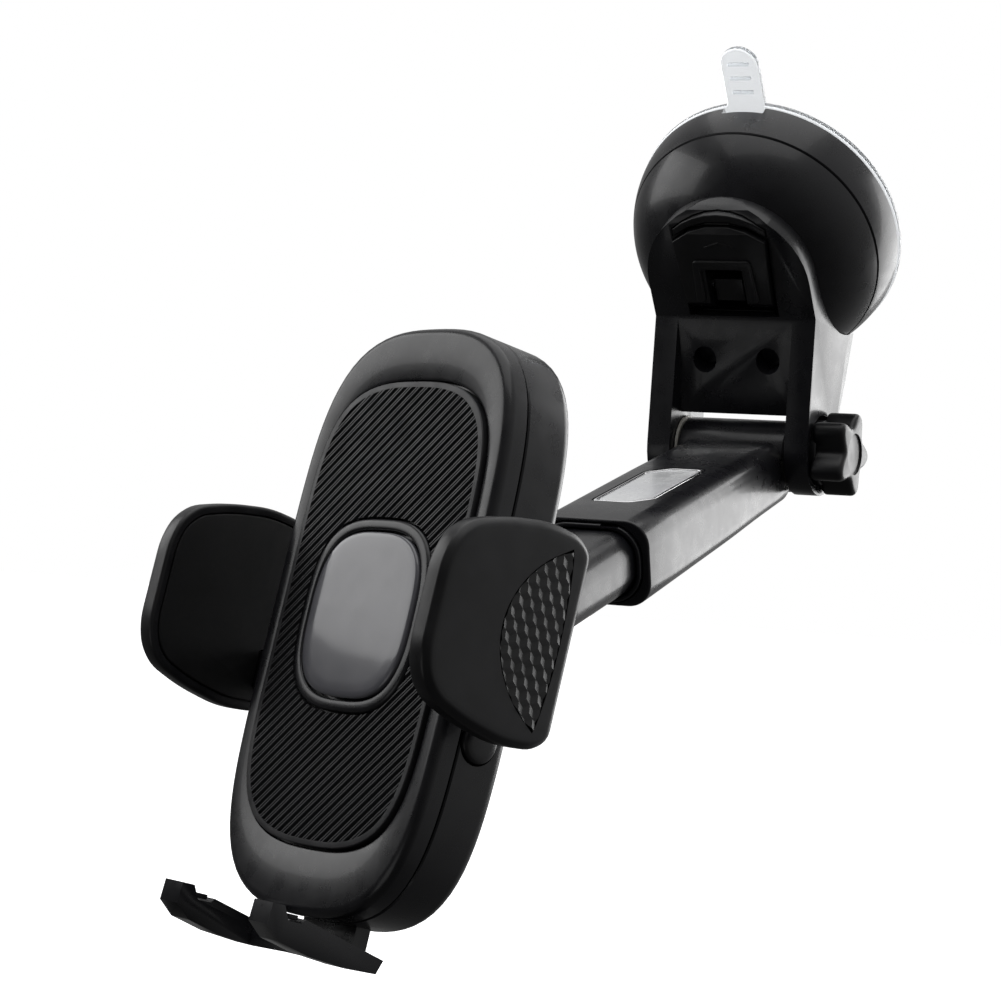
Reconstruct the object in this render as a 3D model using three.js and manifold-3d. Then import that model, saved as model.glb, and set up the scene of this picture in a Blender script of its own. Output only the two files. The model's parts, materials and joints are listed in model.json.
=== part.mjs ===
// A windscreen phone mount: suction base, clamped fork joint, telescopic arm, ball joint and a
// gripping cradle.
// Millimetres, +Z up. The origin is the centre of the suction face, +X points to the clamp knob's side
// and +Y points towards the windscreen.
import * as THREE from "three";
import { mergeVertices } from "three/addons/utils/BufferGeometryUtils.js";
import Module from "manifold-3d";

const wasm = await Module();
wasm.setup();
const RAD = Math.PI / 180;

// ---------- driving dimensions ----------
const GAP = 0.3; // between pieces that seat on each other
const RUN = 0.4; // between pieces that slide or turn

// suction base, along the axis out of the glass
const SLOPE = 37; // the suction axis rises this much, so the glass leans over the object
const PAD_R = 31;
const PAD_T = 1.5;
const TAB_W = 9;
const TAB_LENGTH = 13.6;
const TAB_RIB = { width: 5, thick: 0.8, raise: 0.4, pitch: 3.4, count: 3, first: 2.6 };
const TAB_NOTCH = { depth: 6, height: 2.4 };
const DOME_R = PAD_R - 0.2;
const DOME_H = 28;
const DOME_POWER = 2.2;
const DOME_WALL = 2.2;
const SEAM_Z = 11.2;
const DOME_STEPS = 5;
const DOME_SHOULDER_R = 18.4; // the fork's head sits outside this circle
const WELL_R = 15;
const WELL_FLOOR_Z = 16.6;
const DECK_T = 2.5;
const CUP_T = 2.2;
const CUP = { edge: 3.6, shoulder: 9, hubWall: 3.5, hubRise: 2.6 };
const STEM_FLANGE_R = 9;
const STEM_FLANGE_T = 1.8;
const STEM_HEAD = 3.4; // the stem's end beyond the pin
const STEM_X = 6.6;
const STEM_Y = 5.4;
const STEM_TRAVEL = 2;

// lock lever
const PIN_Y = -1;
const PIN_Z = 24.5;
const PIN_R = 1.5;
const LEVER_TOP_Z = 29.5;
const LEVER_T = 3.2;
const LEVER_TIP_Y = 15.1;
const LEVER_HALF_TOP = 10.8;
const LEVER_HALF_BOTTOM = 9.9;
const CAM_FAR = 7.3; // pin to cam seat when locked
const CAM_NEAR = CAM_FAR - STEM_TRAVEL;
const SLOT_HALF = 4.3;
const SLOT_TOP_Y = 4.9;
const BAND = { r: 17.4, t: 2.4, proud: 0.3, steps: 8 };

// fork
const PIVOT_DROP = 51.84; // pivot below the suction face's centre
const PIVOT_OUT = 8; // pivot in front of the suction face's centre
const FORK_HALF = 19;
const FORK_IN = 13.6;
const FORK_DEPTH = 9.5; // half the arms' depth at the pivot
const EYE_R = 9.6;
const EYE_RECESS_R = 8.3;
const EYE_FACE = 16.6;
const HEAD_Z = 28;
const HEAD_TOP_Y = 19.6;
const HEAD_ARCH_Y = 0.6;
const HEAD_TOP_DROP = 4.6;
const PLATE_T = 2.4;
const PLATE_BOTTOM = { y: -3.6, z: 7.6 };
const SCREW_X = 7.5;
const SCREW_Y = -17;
const SCREW_R = 1.4;
const SCREW_HEAD_R = 2.6;
const POST_R = 3; // screw posts
const BOLT_R = 2.9;
const BOLT_HEAD = { r: 5.2, t: 3.8 };
const WASHER_R = 7;
const KNOB = { lobes: 5, r: 7.8, wave: 1.7, length: 10.2, collarR: 7.2, collarT: 3.2, steps: 40 };

// arm
const ARM_SLOPE = 17; // the arm falls this much towards the cradle
const ARM_DROP = 3.8; // the arm's centre line below the pivot
const ARM_MOUTH = 83.5;
const ARM_ROOT = 3;
const ARM_W = 26;
const ARM_H = 17.8;
const ARM_ROOT_H = 14.4;
const ARM_CORNER = 5.2;
const HUB_R = 7.9;
const HUB_DROP = 1.2;
const HUB_HALF = 12.6;
const TUBE_W = 20;
const TUBE_H = 13.4;
const TUBE_CORNER = 5.4;
const TUBE_WALL = 2;
const TUBE_START = 31;
const TUBE_END = 113;
const END_LIP = 1.4; // the tube's end is narrower inside than its bore
const BORE_END = 11.4;
const COLLAR_LENGTH = 8;
const COLLAR_T = 1.3;
const BADGE = { w: 12.2, length: 32, from: 36, t: 0.8, clip: 4, corner: 1.4 };

// ball joint
const BALL_REACH = 132; // pivot to ball centre along the arm
const BALL_R = 8.5;
const LINER_CLEAR = 0.15;
const NECK_R = 3.6;
const FLANGE_R = 6.4;
const LIP_R = BALL_R - 0.45;
const LINER_T = 0.6;
const CAVITY_R = BALL_R + LINER_T + 2 * LINER_CLEAR;
const SOCKET_R = CAVITY_R + 1.8;
const NUT_R = SOCKET_R + 2.8;
const NUT_GROOVES = 8;

// cradle: x right, y back from the phone's back, z up, centred on the cradle
const CRADLE_YAW = -25.02;
const CRADLE_TILT = -11.76;
const BALL_UP = 4.5;
const BODY_W = 59;
const BODY_H = 109.3;
const BODY_POWER = [2.8, 5];
const FRAME_FRONT = 1.6;
const PARTING = 6.4;
const BODY_BACK = 17.6;
const BALL_BACK = BODY_BACK + CAVITY_R + 2.2;
const BODY_WALL = 2;
const PAD_W = 49.6;
const PAD_H = 86.4;
const PAD_POWER = [2.8, 6];
const PAD_UP = 0.8;
const PAD_FRONT = 1;
const PAD_SEAT = 2.8;
const RING_W = 35.6;
const RING_H = 36;
const RING_WALL = 2.2;
const RING_FRONT = 0.7;
const PANEL_FRONT = 0.3;
const PANEL_T = 2.6;
const PANEL_TRAVEL = 1.5;
const PANEL_WINDOW = 24;
const PANEL_POST_R = 8.6;
const ROUND_POWER = [3, 3];
const SPRING = { r: 4.6, wire: 0.55, turns: 2.5, perTurn: 12 };
const PHONE_W = 78.1;
const PHONE_CLEAR = 0.5;
const JAW_IN = PHONE_W / 2 + PHONE_CLEAR;
const JAW_PAD_T = 1;
const JAW_T = 3.6;
const JAW_TRAVEL = 8;
const BAR_W = 7;
const BAR_T = 4;
const BAR_BACK = 13;
const GEAR_TEETH = 12;
const GEAR_MODULE = 1;
const TOOTH = { add: 0.8, ded: 1.15, half: 0.54, lean: 0.34 };
const FOOT_HALF = 14;
const FOOT_W = 5.6;
const STEM_BAR = { half: 8, t: 3.2, back: 13.6, top: -30 };
const FOOT = { front: -14.9, back: 10.1, top: 0.05 - BODY_H / 2, low: 6.9, high: 4.2 };
const JAW = { front: -17.4, back: 14.8, half: 19.6, lip: 1.6 };
const GRIP = { top: 15.6, bulge: 12.8, power: 0.8, back: 10.8, lean: 1.4, steps: 10 };
const BUTTON = { x: BODY_W / 2, y: 10.7, z: -18.9, r: 3.7 };
const CASE_SCREWS = [[-18, 40], [18, 40], [-18, -34], [18, -34]];
const LOW_BAR = -1;
const HIGH_BAR = 1;
const PITCH_R = (GEAR_MODULE * GEAR_TEETH) / 2;
const BAR_FRONT = BAR_BACK - BAR_T;
const BAR_NEAR = PITCH_R + TOOTH.ded + 0.25; // the bar's edge behind its teeth

// ---------- materials ----------
const material = (color, roughness, metalness = 0) =>
  new THREE.MeshStandardMaterial({ color, roughness, metalness });
const glossBlack = () => material(0x0b0b0d, 0.22);
const satinBlack = () => material(0x16161a, 0.42);
const rubber = () => material(0x0d0d0e, 0.75);
const clearGel = () => material(0xe8ecef, 0.2);
const panelGrey = () => material(0x55565c, 0.25);
const blackSteel = () => material(0x1a1a1c, 0.35, 0.8);
const steel = () => material(0xb9bcc2, 0.3, 1);
const silver = () => material(0xe6e7ea, 0.2, 0.9);
const nylon = () => material(0xd9d7cf, 0.55);

// ---------- solids ----------
function solid(geometry) {
  const bare = new THREE.BufferGeometry();
  const source = geometry.index ? geometry.toNonIndexed() : geometry;
  bare.setAttribute("position", source.getAttribute("position"));
  const merged = mergeVertices(bare, 1e-4);
  const triVerts = [];
  for (let i = 0; i < merged.index.count; i += 3) {
    const [a, b, c] = [0, 1, 2].map((k) => merged.index.getX(i + k));
    if (a !== b && b !== c && c !== a) triVerts.push(a, b, c);
  }
  return new wasm.Manifold(
    new wasm.Mesh({
      numProp: 3,
      vertProperties: merged.attributes.position.array,
      triVerts: new Uint32Array(triVerts),
    }),
  );
}

function geometryOf(manifold) {
  const { vertProperties, triVerts } = manifold.getMesh();
  const geometry = new THREE.BufferGeometry();
  geometry.setAttribute("position", new THREE.BufferAttribute(new Float32Array(vertProperties), 3));
  geometry.setIndex(new THREE.BufferAttribute(new Uint32Array(triVerts), 1));
  geometry.computeVertexNormals();
  return geometry;
}

function add(parent, name, shape, look) {
  const mesh = new THREE.Mesh(shape.getMesh ? geometryOf(shape) : geometryOf(solid(shape)), look);
  mesh.name = name;
  parent.add(mesh);
  return mesh;
}

// ---------- outlines ----------
function outline(points) {
  return new THREE.Shape(points.map(([x, y]) => new THREE.Vector2(x, y)));
}

function superellipse(width, height, [powerX, powerY], steps = 40, lift = 0) {
  const points = [];
  for (let i = 0; i < steps; i += 1) {
    const angle = (2 * Math.PI * i) / steps;
    const [c, s] = [Math.cos(angle), Math.sin(angle)];
    const x = (Math.sign(c) * Math.abs(c) ** (2 / powerX) * width) / 2;
    const y = (Math.sign(s) * Math.abs(s) ** (2 / powerY) * height) / 2;
    points.push([x, y + lift]);
  }
  return outline(points);
}

function roundedRect(width, height, corner, steps = 4, lift = 0) {
  const points = [];
  for (const [sx, sy, start] of [[1, 1, 0], [-1, 1, 90], [-1, -1, 180], [1, -1, 270]]) {
    for (let i = 0; i <= steps; i += 1) {
      const angle = (start + (90 * i) / steps) * RAD;
      points.push([
        sx * (width / 2 - corner) + corner * Math.cos(angle),
        sy * (height / 2 - corner) + corner * Math.sin(angle) + lift,
      ]);
    }
  }
  return outline(points);
}

function circle(radius, steps = 32, x = 0, y = 0) {
  const points = [];
  for (let i = 0; i < steps; i += 1) {
    const angle = (2 * Math.PI * (i + 0.5)) / steps;
    points.push([x + radius * Math.cos(angle), y + radius * Math.sin(angle)]);
  }
  return outline(points);
}

// Extruded along z from low to high.
function slab(shape, low, high, bevel = 0) {
  const geometry = new THREE.ExtrudeGeometry(shape, {
    depth: high - low - 2 * bevel,
    bevelEnabled: bevel > 0,
    bevelThickness: bevel,
    bevelSize: bevel,
    bevelOffset: -bevel,
    bevelSegments: 2,
    curveSegments: 8,
  });
  return geometry.translate(0, 0, low + bevel);
}

// The outline's x and y become y and z, extruded along x.
function slabX(shape, low, high, bevel = 0) {
  const turn = new THREE.Matrix4().makeBasis(
    new THREE.Vector3(0, 1, 0),
    new THREE.Vector3(0, 0, 1),
    new THREE.Vector3(1, 0, 0),
  );
  return slab(shape, low, high, bevel).applyMatrix4(turn);
}

// The outline's x and y become x and z, extruded along y from front to back.
function slabY(shape, front, back, bevel = 0) {
  return slab(shape, -back, -front, bevel).rotateX(Math.PI / 2);
}

function box(x0, x1, y0, y1, z0, z1) {
  const geometry = new THREE.BoxGeometry(x1 - x0, y1 - y0, z1 - z0);
  return geometry.translate((x0 + x1) / 2, (y0 + y1) / 2, (z0 + z1) / 2);
}

// A ring profile of [radius, z] points, turned about z.
function turned(profile, steps = 36) {
  const points = profile.map(([r, z]) => new THREE.Vector2(r, z));
  if (profile[0][0] > 0) points.push(points[0].clone());
  const made = solid(new THREE.LatheGeometry(points, steps).rotateX(Math.PI / 2));
  return made.volume() < 0 ? turned([...profile].reverse(), steps) : made;
}

function rodX(radius, x0, x1, y = 0, z = 0, steps = 24) {
  return slabX(circle(radius, steps, y, z), x0, x1);
}

// ---------- suction base: z out of the glass, y up its slope ----------
function domeRadius(z) {
  return DOME_R * (1 - (z / DOME_H) ** DOME_POWER) ** (1 / DOME_POWER);
}

function domeHeight(r) {
  return DOME_H * (1 - (r / DOME_R) ** DOME_POWER) ** (1 / DOME_POWER);
}

const SCREW_SEAT = domeHeight(18) + 2.9;

function domeCurve(low, high, inset, steps) {
  const points = [];
  for (let i = 0; i <= steps; i += 1) {
    const z = low + ((high - low) * i) / steps;
    points.push([domeRadius(z) - inset, z]);
  }
  return points;
}

function gelPad() {
  const disc = solid(slab(circle(PAD_R, 48), 0, PAD_T));
  const length = TAB_LENGTH + PAD_R / 2;
  const tab = roundedRect(TAB_W, length, TAB_W / 2 - 0.1, 6, PAD_R + TAB_LENGTH - length / 2);
  let pad = disc.add(solid(slab(tab, 0, PAD_T)));
  for (let i = 0; i < TAB_RIB.count; i += 1) {
    const y = PAD_R + TAB_RIB.first + TAB_RIB.pitch * i;
    const half = TAB_RIB.width / 2;
    const rib = box(-half, half, y, y + TAB_RIB.thick, PAD_T / 2, PAD_T + TAB_RIB.raise);
    pad = pad.add(solid(rib));
  }
  return pad;
}

function suctionCup() {
  const low = PAD_T + GAP;
  const hole = STEM_FLANGE_R + RUN;
  const hubTop = low + CUP_T + CUP.hubRise;
  return turned([
    [hole, low],
    [PAD_R - CUP.edge, low],
    [PAD_R - CUP.edge, low + CUP_T * 0.6],
    [PAD_R - CUP.shoulder, low + CUP_T],
    [hole + CUP.hubWall, hubTop],
    [hole, hubTop],
  ]);
}

function domeRim() {
  const low = PAD_T + GAP;
  const top = SEAM_Z - GAP;
  const inner = [[domeRadius(top) - DOME_WALL, top], [domeRadius(low) - DOME_WALL, low]];
  const ring = turned([...domeCurve(low, top, 0, 4), ...inner], 48);
  const half = TAB_W / 2 + RUN;
  const notch = box(-half, half, DOME_R - TAB_NOTCH.depth, DOME_R + 1, 0, low + TAB_NOTCH.height);
  return ring.subtract(solid(notch));
}

function stemHole() {
  const [x, y] = [STEM_X / 2 + RUN, STEM_Y / 2 + RUN];
  return solid(box(-x, x, PIN_Y - y, PIN_Y + y, 0, HEAD_Z));
}

function screwRod(radius, low, high, side) {
  return solid(slab(circle(radius, 16, side * SCREW_X, SCREW_Y), low, high));
}

function baseDome() {
  const shoulderZ = domeHeight(DOME_SHOULDER_R);
  const innerTop = shoulderZ - DOME_WALL - 0.6;
  const inside = domeCurve(SEAM_Z, innerTop - 1, DOME_WALL, 3).reverse();
  const shell = turned(
    [
      ...domeCurve(SEAM_Z, shoulderZ, 0, DOME_STEPS),
      [WELL_R, shoulderZ],
      [WELL_R, WELL_FLOOR_Z],
      [0, WELL_FLOOR_Z],
      [0, WELL_FLOOR_Z - DECK_T],
      [WELL_R + DOME_WALL, WELL_FLOOR_Z - DECK_T],
      [WELL_R + DOME_WALL, innerTop - 1],
      ...inside,
    ],
    48,
  );
  const postTop = domeHeight(Math.hypot(SCREW_X, SCREW_Y) + POST_R) - 0.6;
  let dome = shell.subtract(stemHole());
  for (const side of [-1, 1]) {
    dome = dome.add(screwRod(POST_R, WELL_FLOOR_Z - DECK_T, postTop, side));
    dome = dome.subtract(screwRod(SCREW_R + 0.15, WELL_FLOOR_Z - DECK_T + 1.5, shoulderZ + 6, side));
  }
  return dome;
}

function cupStem() {
  const low = PAD_T + GAP + STEM_TRAVEL + 0.6;
  const high = low + STEM_FLANGE_T;
  const flange = turned([[0, low], [STEM_FLANGE_R, low], [STEM_FLANGE_R, high], [0, high]], 32);
  const [x, y] = [STEM_X / 2, STEM_Y / 2];
  const post = solid(box(-x, x, PIN_Y - y, PIN_Y + y, low + 0.5, PIN_Z + STEM_HEAD));
  const bore = solid(rodX(PIN_R + 0.1, -FORK_IN, FORK_IN, PIN_Y, PIN_Z, 20));
  return flange.add(post).subtract(bore);
}

// The side of the lever: a flat handle, and a cam whose radius falls as the lever lifts.
function leverSide() {
  const points = [[LEVER_TIP_Y, LEVER_TOP_Z - LEVER_T], [LEVER_TIP_Y, LEVER_TOP_Z - 0.8]];
  points.push([LEVER_TIP_Y - 1.2, LEVER_TOP_Z]);
  points.push([PIN_Y - 2.6, LEVER_TOP_Z]);
  points.push([PIN_Y - 4.6, PIN_Z + 3]);
  for (let turn = 90; turn >= 0; turn -= 15) {
    const radius = CAM_FAR - GAP - (STEM_TRAVEL * turn) / 90;
    points.push([PIN_Y - radius * Math.sin(turn * RAD), PIN_Z - radius * Math.cos(turn * RAD)]);
  }
  points.push([PIN_Y + 3.4, PIN_Z - 4.6]);
  points.push([PIN_Y + 5, LEVER_TOP_Z - LEVER_T]);
  return outline(points.reverse());
}

function leverPlan(clear) {
  const [top, bottom] = [LEVER_HALF_TOP + clear, LEVER_HALF_BOTTOM + clear];
  const low = PIN_Y - CAM_NEAR - 1 - clear;
  return outline([
    [-bottom + 2, low],
    [bottom - 2, low],
    [bottom, low + 2.4],
    [top, LEVER_TIP_Y - 3.4],
    [top * 0.62, LEVER_TIP_Y - 0.9 + clear],
    [top * 0.24, LEVER_TIP_Y + clear],
    [-top * 0.24, LEVER_TIP_Y + clear],
    [-top * 0.62, LEVER_TIP_Y - 0.9 + clear],
    [-top, LEVER_TIP_Y - 3.4],
    [-bottom, low + 2.4],
  ]);
}

function lockLever() {
  const side = solid(slabX(leverSide(), -LEVER_HALF_TOP, LEVER_HALF_TOP));
  const plan = solid(slab(leverPlan(0), PIN_Z - CAM_FAR - 1, LEVER_TOP_Z + 1));
  const slot = solid(box(-SLOT_HALF, SLOT_HALF, -20, SLOT_TOP_Y, 0, LEVER_TOP_Z + 1));
  const bore = solid(rodX(PIN_R + 0.2, -FORK_IN, FORK_IN, PIN_Y, PIN_Z, 20));
  return side.intersect(plan).subtract(slot).subtract(bore);
}

// ---------- fork ----------
// A point given on the suction base's side view, as [y, z] of the whole object.
function fromBase(y, z) {
  const [s, c] = [Math.sin(SLOPE * RAD), Math.cos(SLOPE * RAD)];
  return [-s * y - c * z, c * y - s * z];
}

function fromPivot(y, z) {
  return [y - PIVOT_OUT, z - PIVOT_DROP];
}

function forkSide() {
  const points = [];
  for (let turn = 180; turn <= 360; turn += 12) {
    points.push(fromPivot(FORK_DEPTH * Math.cos(turn * RAD), EYE_R * Math.sin(turn * RAD)));
  }
  points.push(fromPivot(FORK_DEPTH, FORK_DEPTH));
  // up the back of the arms, under the dome, and over the head
  points.push(fromPivot(12.4, 17.3));
  points.push(fromPivot(15.8, 28.7));
  points.push(fromBase(-19, 5));
  points.push(fromBase(14, 5));
  points.push(fromBase(HEAD_TOP_Y, domeHeight(HEAD_TOP_Y) - 3));
  points.push(fromBase(HEAD_TOP_Y, HEAD_Z - HEAD_TOP_DROP));
  points.push(fromBase(HEAD_TOP_Y - 1.4, HEAD_Z - 1.6));
  points.push(fromBase(HEAD_TOP_Y - 4, HEAD_Z));
  points.push([fromPivot(-FORK_DEPTH, 0)[0], frontCorner()]);
  return outline(points);
}

// Height at which the arms' front plane meets the head's face.
function frontCorner() {
  const y = fromPivot(-FORK_DEPTH, 0)[0];
  return -(HEAD_Z + Math.cos(SLOPE * RAD) * y) / Math.sin(SLOPE * RAD);
}

// The channel in front of the plate, or the hollow behind it.
function plateFront(shift) {
  const [ty, tz] = fromBase(-7.6, HEAD_Z);
  const [by, bz] = fromPivot(PLATE_BOTTOM.y, PLATE_BOTTOM.z);
  const length = Math.hypot(by - ty, bz - tz);
  const [ny, nz] = [-(bz - tz) / length, (by - ty) / length];
  return [[ty + ny * shift, tz + nz * shift], [by + ny * shift, bz + nz * shift]];
}

function forkChannel() {
  const [top, bottom] = plateFront(0);
  const [, behind] = plateFront(PLATE_T);
  const [front, back] = [-60, 20];
  const low = fromPivot(0, -20)[1];
  const opening = [[front, top[1] + 6], [front, low], [back, low], [back, behind[1] + 3]];
  return outline([top, ...opening, behind, bottom]);
}

function forkHollow() {
  const [top, bottom] = plateFront(PLATE_T);
  const back = fromBase(-30, -20);
  return outline([bottom, [bottom[0] + 30, bottom[1] + 1], back, fromBase(-12, -20), fromBase(-11, 20), top]);
}

function leverPocket() {
  const upper = solid(slab(leverPlan(RUN), LEVER_TOP_Z - LEVER_T - 0.8, HEAD_Z + 10));
  const half = LEVER_HALF_BOTTOM + 0.7;
  const lower = solid(box(-half, half, PIN_Y - 6.6, PIN_Y + 9.8, 4, HEAD_Z + 1));
  return upper.add(lower);
}

// The strip between the lever's tip and the head's arch.
function bandShape(clear) {
  const { r, steps } = BAND;
  const half = LEVER_HALF_TOP + clear;
  const start = Math.acos(half / (r + clear));
  const points = [];
  for (let i = 0; i <= steps; i += 1) {
    const angle = start + ((Math.PI - 2 * start) * i) / steps;
    points.push([(r + clear) * Math.cos(angle), HEAD_ARCH_Y + (r + clear) * Math.sin(angle)]);
  }
  for (const [x, y] of [[-half, -2.5], [-6.7, -0.2], [-2.6, 0.9], [2.6, 0.9], [6.7, -0.2], [half, -2.5]]) {
    points.push([x, LEVER_TIP_Y + y - clear]);
  }
  return outline(points);
}

function forkBracket(toBase) {
  const body = solid(slabX(forkSide(), -FORK_HALF, FORK_HALF));
  const arch = [];
  for (let turn = 0; turn <= 180; turn += 7.5) {
    arch.push([FORK_HALF * Math.cos(turn * RAD), HEAD_ARCH_Y + FORK_HALF * Math.sin(turn * RAD)]);
  }
  arch.push([-FORK_HALF, -90], [FORK_HALF, -90]);
  const inBase = (shape) => solid(geometryOf(shape).applyMatrix4(toBase));
  const profile = [[0, -5], [DOME_R + GAP, -5], ...domeEnvelope(), [0, WELL_FLOOR_Z + GAP]];
  const envelope = turned(profile, 48);
  let fork = body.intersect(inBase(solid(slab(outline(arch), -60, 90))));
  fork = fork.subtract(solid(slabX(forkChannel(), -FORK_IN, FORK_IN)));
  fork = fork.subtract(solid(slabX(forkHollow(), -FORK_IN, FORK_IN)));
  for (const side of [-1, 1]) {
    const boss = screwRod(SCREW_HEAD_R + 1.4, domeHeight(20) - 4, HEAD_Z + 3, side);
    fork = fork.add(inBase(boss).subtract(channelFace()));
  }
  fork = fork.subtract(inBase(envelope)).subtract(inBase(leverPocket()));
  fork = fork.subtract(inBase(solid(slab(bandShape(GAP), HEAD_Z - BAND.t, HEAD_Z + 5))));
  for (const side of [-1, 1]) {
    fork = fork.subtract(inBase(screwRod(SCREW_R + 0.2, 0, 60, side)));
    fork = fork.subtract(inBase(screwRod(SCREW_HEAD_R + 0.2, SCREW_SEAT - GAP, 60, side)));
  }
  return fork.subtract(eyeRecess(-1)).subtract(eyeRecess(1)).subtract(eyeBore());
}

// The round seat for the knob or the bolt's head on the outside of an eye.
function eyeRecess(side) {
  const [y, z] = fromPivot(0, 0);
  const [low, high] = side < 0 ? [-FORK_HALF - 1, -EYE_FACE] : [EYE_FACE, FORK_HALF + 1];
  return solid(rodX(EYE_RECESS_R, low, high, y, z, 32));
}

function eyeBore() {
  const [y, z] = fromPivot(0, 0);
  return solid(rodX(BOLT_R + 0.2, -FORK_HALF - 1, FORK_HALF + 1, y, z));
}

// Everything in front of the plate, so that the screw bosses end flush with it.
function channelFace() {
  return solid(slabX(forkChannel(), -FORK_IN - 1, FORK_IN + 1));
}

// The dome's outside, grown by the gap, and its well.
function domeEnvelope() {
  const shoulderZ = domeHeight(DOME_SHOULDER_R);
  const skirt = domeCurve(0, SEAM_Z, -GAP, 3).slice(0, -1);
  const top = shoulderZ + GAP;
  const well = [[WELL_R - GAP, top], [WELL_R - GAP, WELL_FLOOR_Z + GAP]];
  return [...skirt, ...domeCurve(SEAM_Z, shoulderZ, -GAP, DOME_STEPS), [DOME_SHOULDER_R, top], ...well];
}

// ---------- clamp ----------
function pivotBolt() {
  const shank = solid(rodX(BOLT_R, -EYE_FACE, EYE_FACE + 7));
  const head = solid(rodX(BOLT_HEAD.r, -EYE_FACE - BOLT_HEAD.t, -EYE_FACE - GAP, 0, 0, 6));
  return shank.add(head).add(solid(rodX(BOLT_R, -EYE_FACE - 1, -EYE_FACE + 1)));
}

function washer(side) {
  const [low, high] = [HUB_HALF + 0.2, FORK_IN - 0.2];
  const ring = solid(rodX(WASHER_R, low, high, 0, 0, 32)).subtract(solid(rodX(BOLT_R + 0.3, 0, FORK_HALF)));
  return side > 0 ? ring : ring.mirror([1, 0, 0]);
}

function clampKnob() {
  const points = [];
  for (let i = 0; i < KNOB.steps; i += 1) {
    const angle = (2 * Math.PI * i) / KNOB.steps;
    const radius = KNOB.r + KNOB.wave * Math.cos(KNOB.lobes * angle);
    points.push([radius * Math.cos(angle), radius * Math.sin(angle)]);
  }
  const [low, high] = [EYE_FACE + GAP, EYE_FACE + KNOB.length];
  const grip = solid(slabX(outline(points), low + KNOB.collarT - 0.8, high, 1));
  const collar = solid(rodX(KNOB.collarR, low, low + KNOB.collarT, 0, 0, 32));
  return grip.add(collar).subtract(solid(rodX(BOLT_R + 0.2, 0, high - 2)));
}

// ---------- telescopic arm: z along the arm, y up ----------
function armHeight(z) {
  return ARM_ROOT_H + ((ARM_H - ARM_ROOT_H) * (z - ARM_ROOT)) / (ARM_MOUTH - ARM_ROOT);
}

function outerShell() {
  const geometry = new THREE.ExtrudeGeometry(roundedRect(ARM_W, ARM_H, ARM_CORNER), {
    depth: ARM_MOUTH - ARM_ROOT,
    steps: 4,
    bevelEnabled: false,
  });
  geometry.translate(0, 0, ARM_ROOT);
  const place = geometry.getAttribute("position");
  for (let i = 0; i < place.count; i += 1) {
    const z = place.getZ(i);
    const share = armHeight(z) / ARM_H;
    const narrow = THREE.MathUtils.lerp((2 * HUB_HALF) / ARM_W, 1, THREE.MathUtils.smoothstep(z, 15, 40));
    place.setXYZ(i, place.getX(i) * narrow, place.getY(i) * share - ARM_DROP, z);
  }
  return solid(geometry);
}

function tubeOutline(grow) {
  return roundedRect(TUBE_W + 2 * grow, TUBE_H + 2 * grow, TUBE_CORNER + grow, 4, -ARM_DROP);
}

function badgeOutline(grow) {
  const [w, l, c, r] = [BADGE.w / 2 + grow, BADGE.length / 2 + grow, BADGE.clip, BADGE.corner];
  const near = [[-w, -l + r], [-w + r, -l], [w - c, -l], [w, -l + c]];
  return outline([...near, [w, l - r], [w - r, l], [-w + c, l], [-w, l - c]]);
}

// A slab of the badge's outline laid on the arm's top face.
function badgeSlab(grow, low, high) {
  const tilt = Math.atan((ARM_H - ARM_ROOT_H) / 2 / (ARM_MOUTH - ARM_ROOT));
  const middle = BADGE.from + BADGE.length / 2;
  const face = armHeight(middle) / 2 - ARM_DROP;
  return slab(badgeOutline(grow), low, high)
    .rotateX(-Math.PI / 2)
    .rotateY(Math.PI)
    .rotateX(-tilt)
    .translate(0, face, middle);
}

function outerArm() {
  const bore = solid(slab(tubeOutline(RUN), BORE_END, ARM_MOUTH + 1));
  const mouth = solid(slab(tubeOutline(COLLAR_T + GAP), ARM_MOUTH - COLLAR_LENGTH, ARM_MOUTH + 1));
  const hub = solid(rodX(HUB_R, -HUB_HALF, HUB_HALF, -HUB_DROP, 0, 40));
  const pin = solid(rodX(BOLT_R + 0.3, -ARM_W, ARM_W));
  const recess = solid(badgeSlab(GAP, -BADGE.t - GAP, 3));
  return outerShell().subtract(bore).subtract(mouth).add(hub).subtract(pin).subtract(recess);
}

function armCollar() {
  const outer = solid(slab(tubeOutline(COLLAR_T), ARM_MOUTH - COLLAR_LENGTH + GAP, ARM_MOUTH + 0.8));
  const top = TUBE_H / 2 - ARM_DROP;
  const key = solid(box(3, 7, top + 0.9, top + 3, ARM_MOUTH - 1.6, ARM_MOUTH + 2));
  return outer.subtract(solid(slab(tubeOutline(RUN), 0, ARM_MOUTH + 2))).subtract(key);
}

function innerTube() {
  const outer = solid(slab(tubeOutline(0), TUBE_START, TUBE_END));
  const hollow = solid(slab(tubeOutline(-TUBE_WALL), TUBE_START - 1, TUBE_END - 4));
  const mouth = solid(slab(tubeOutline(-TUBE_WALL - END_LIP), TUBE_END - 5, TUBE_END + 1));
  return outer.subtract(hollow).subtract(mouth);
}

function guideShoe() {
  const lip = solid(slab(tubeOutline(RUN - 0.15), TUBE_START - 2.3, TUBE_START - GAP));
  const plug = solid(slab(tubeOutline(-TUBE_WALL - GAP), TUBE_START - 1, TUBE_START + 5));
  return lip.add(plug).subtract(solid(slab(tubeOutline(-TUBE_WALL - 2), TUBE_START - 4, TUBE_START + 6)));
}

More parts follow.
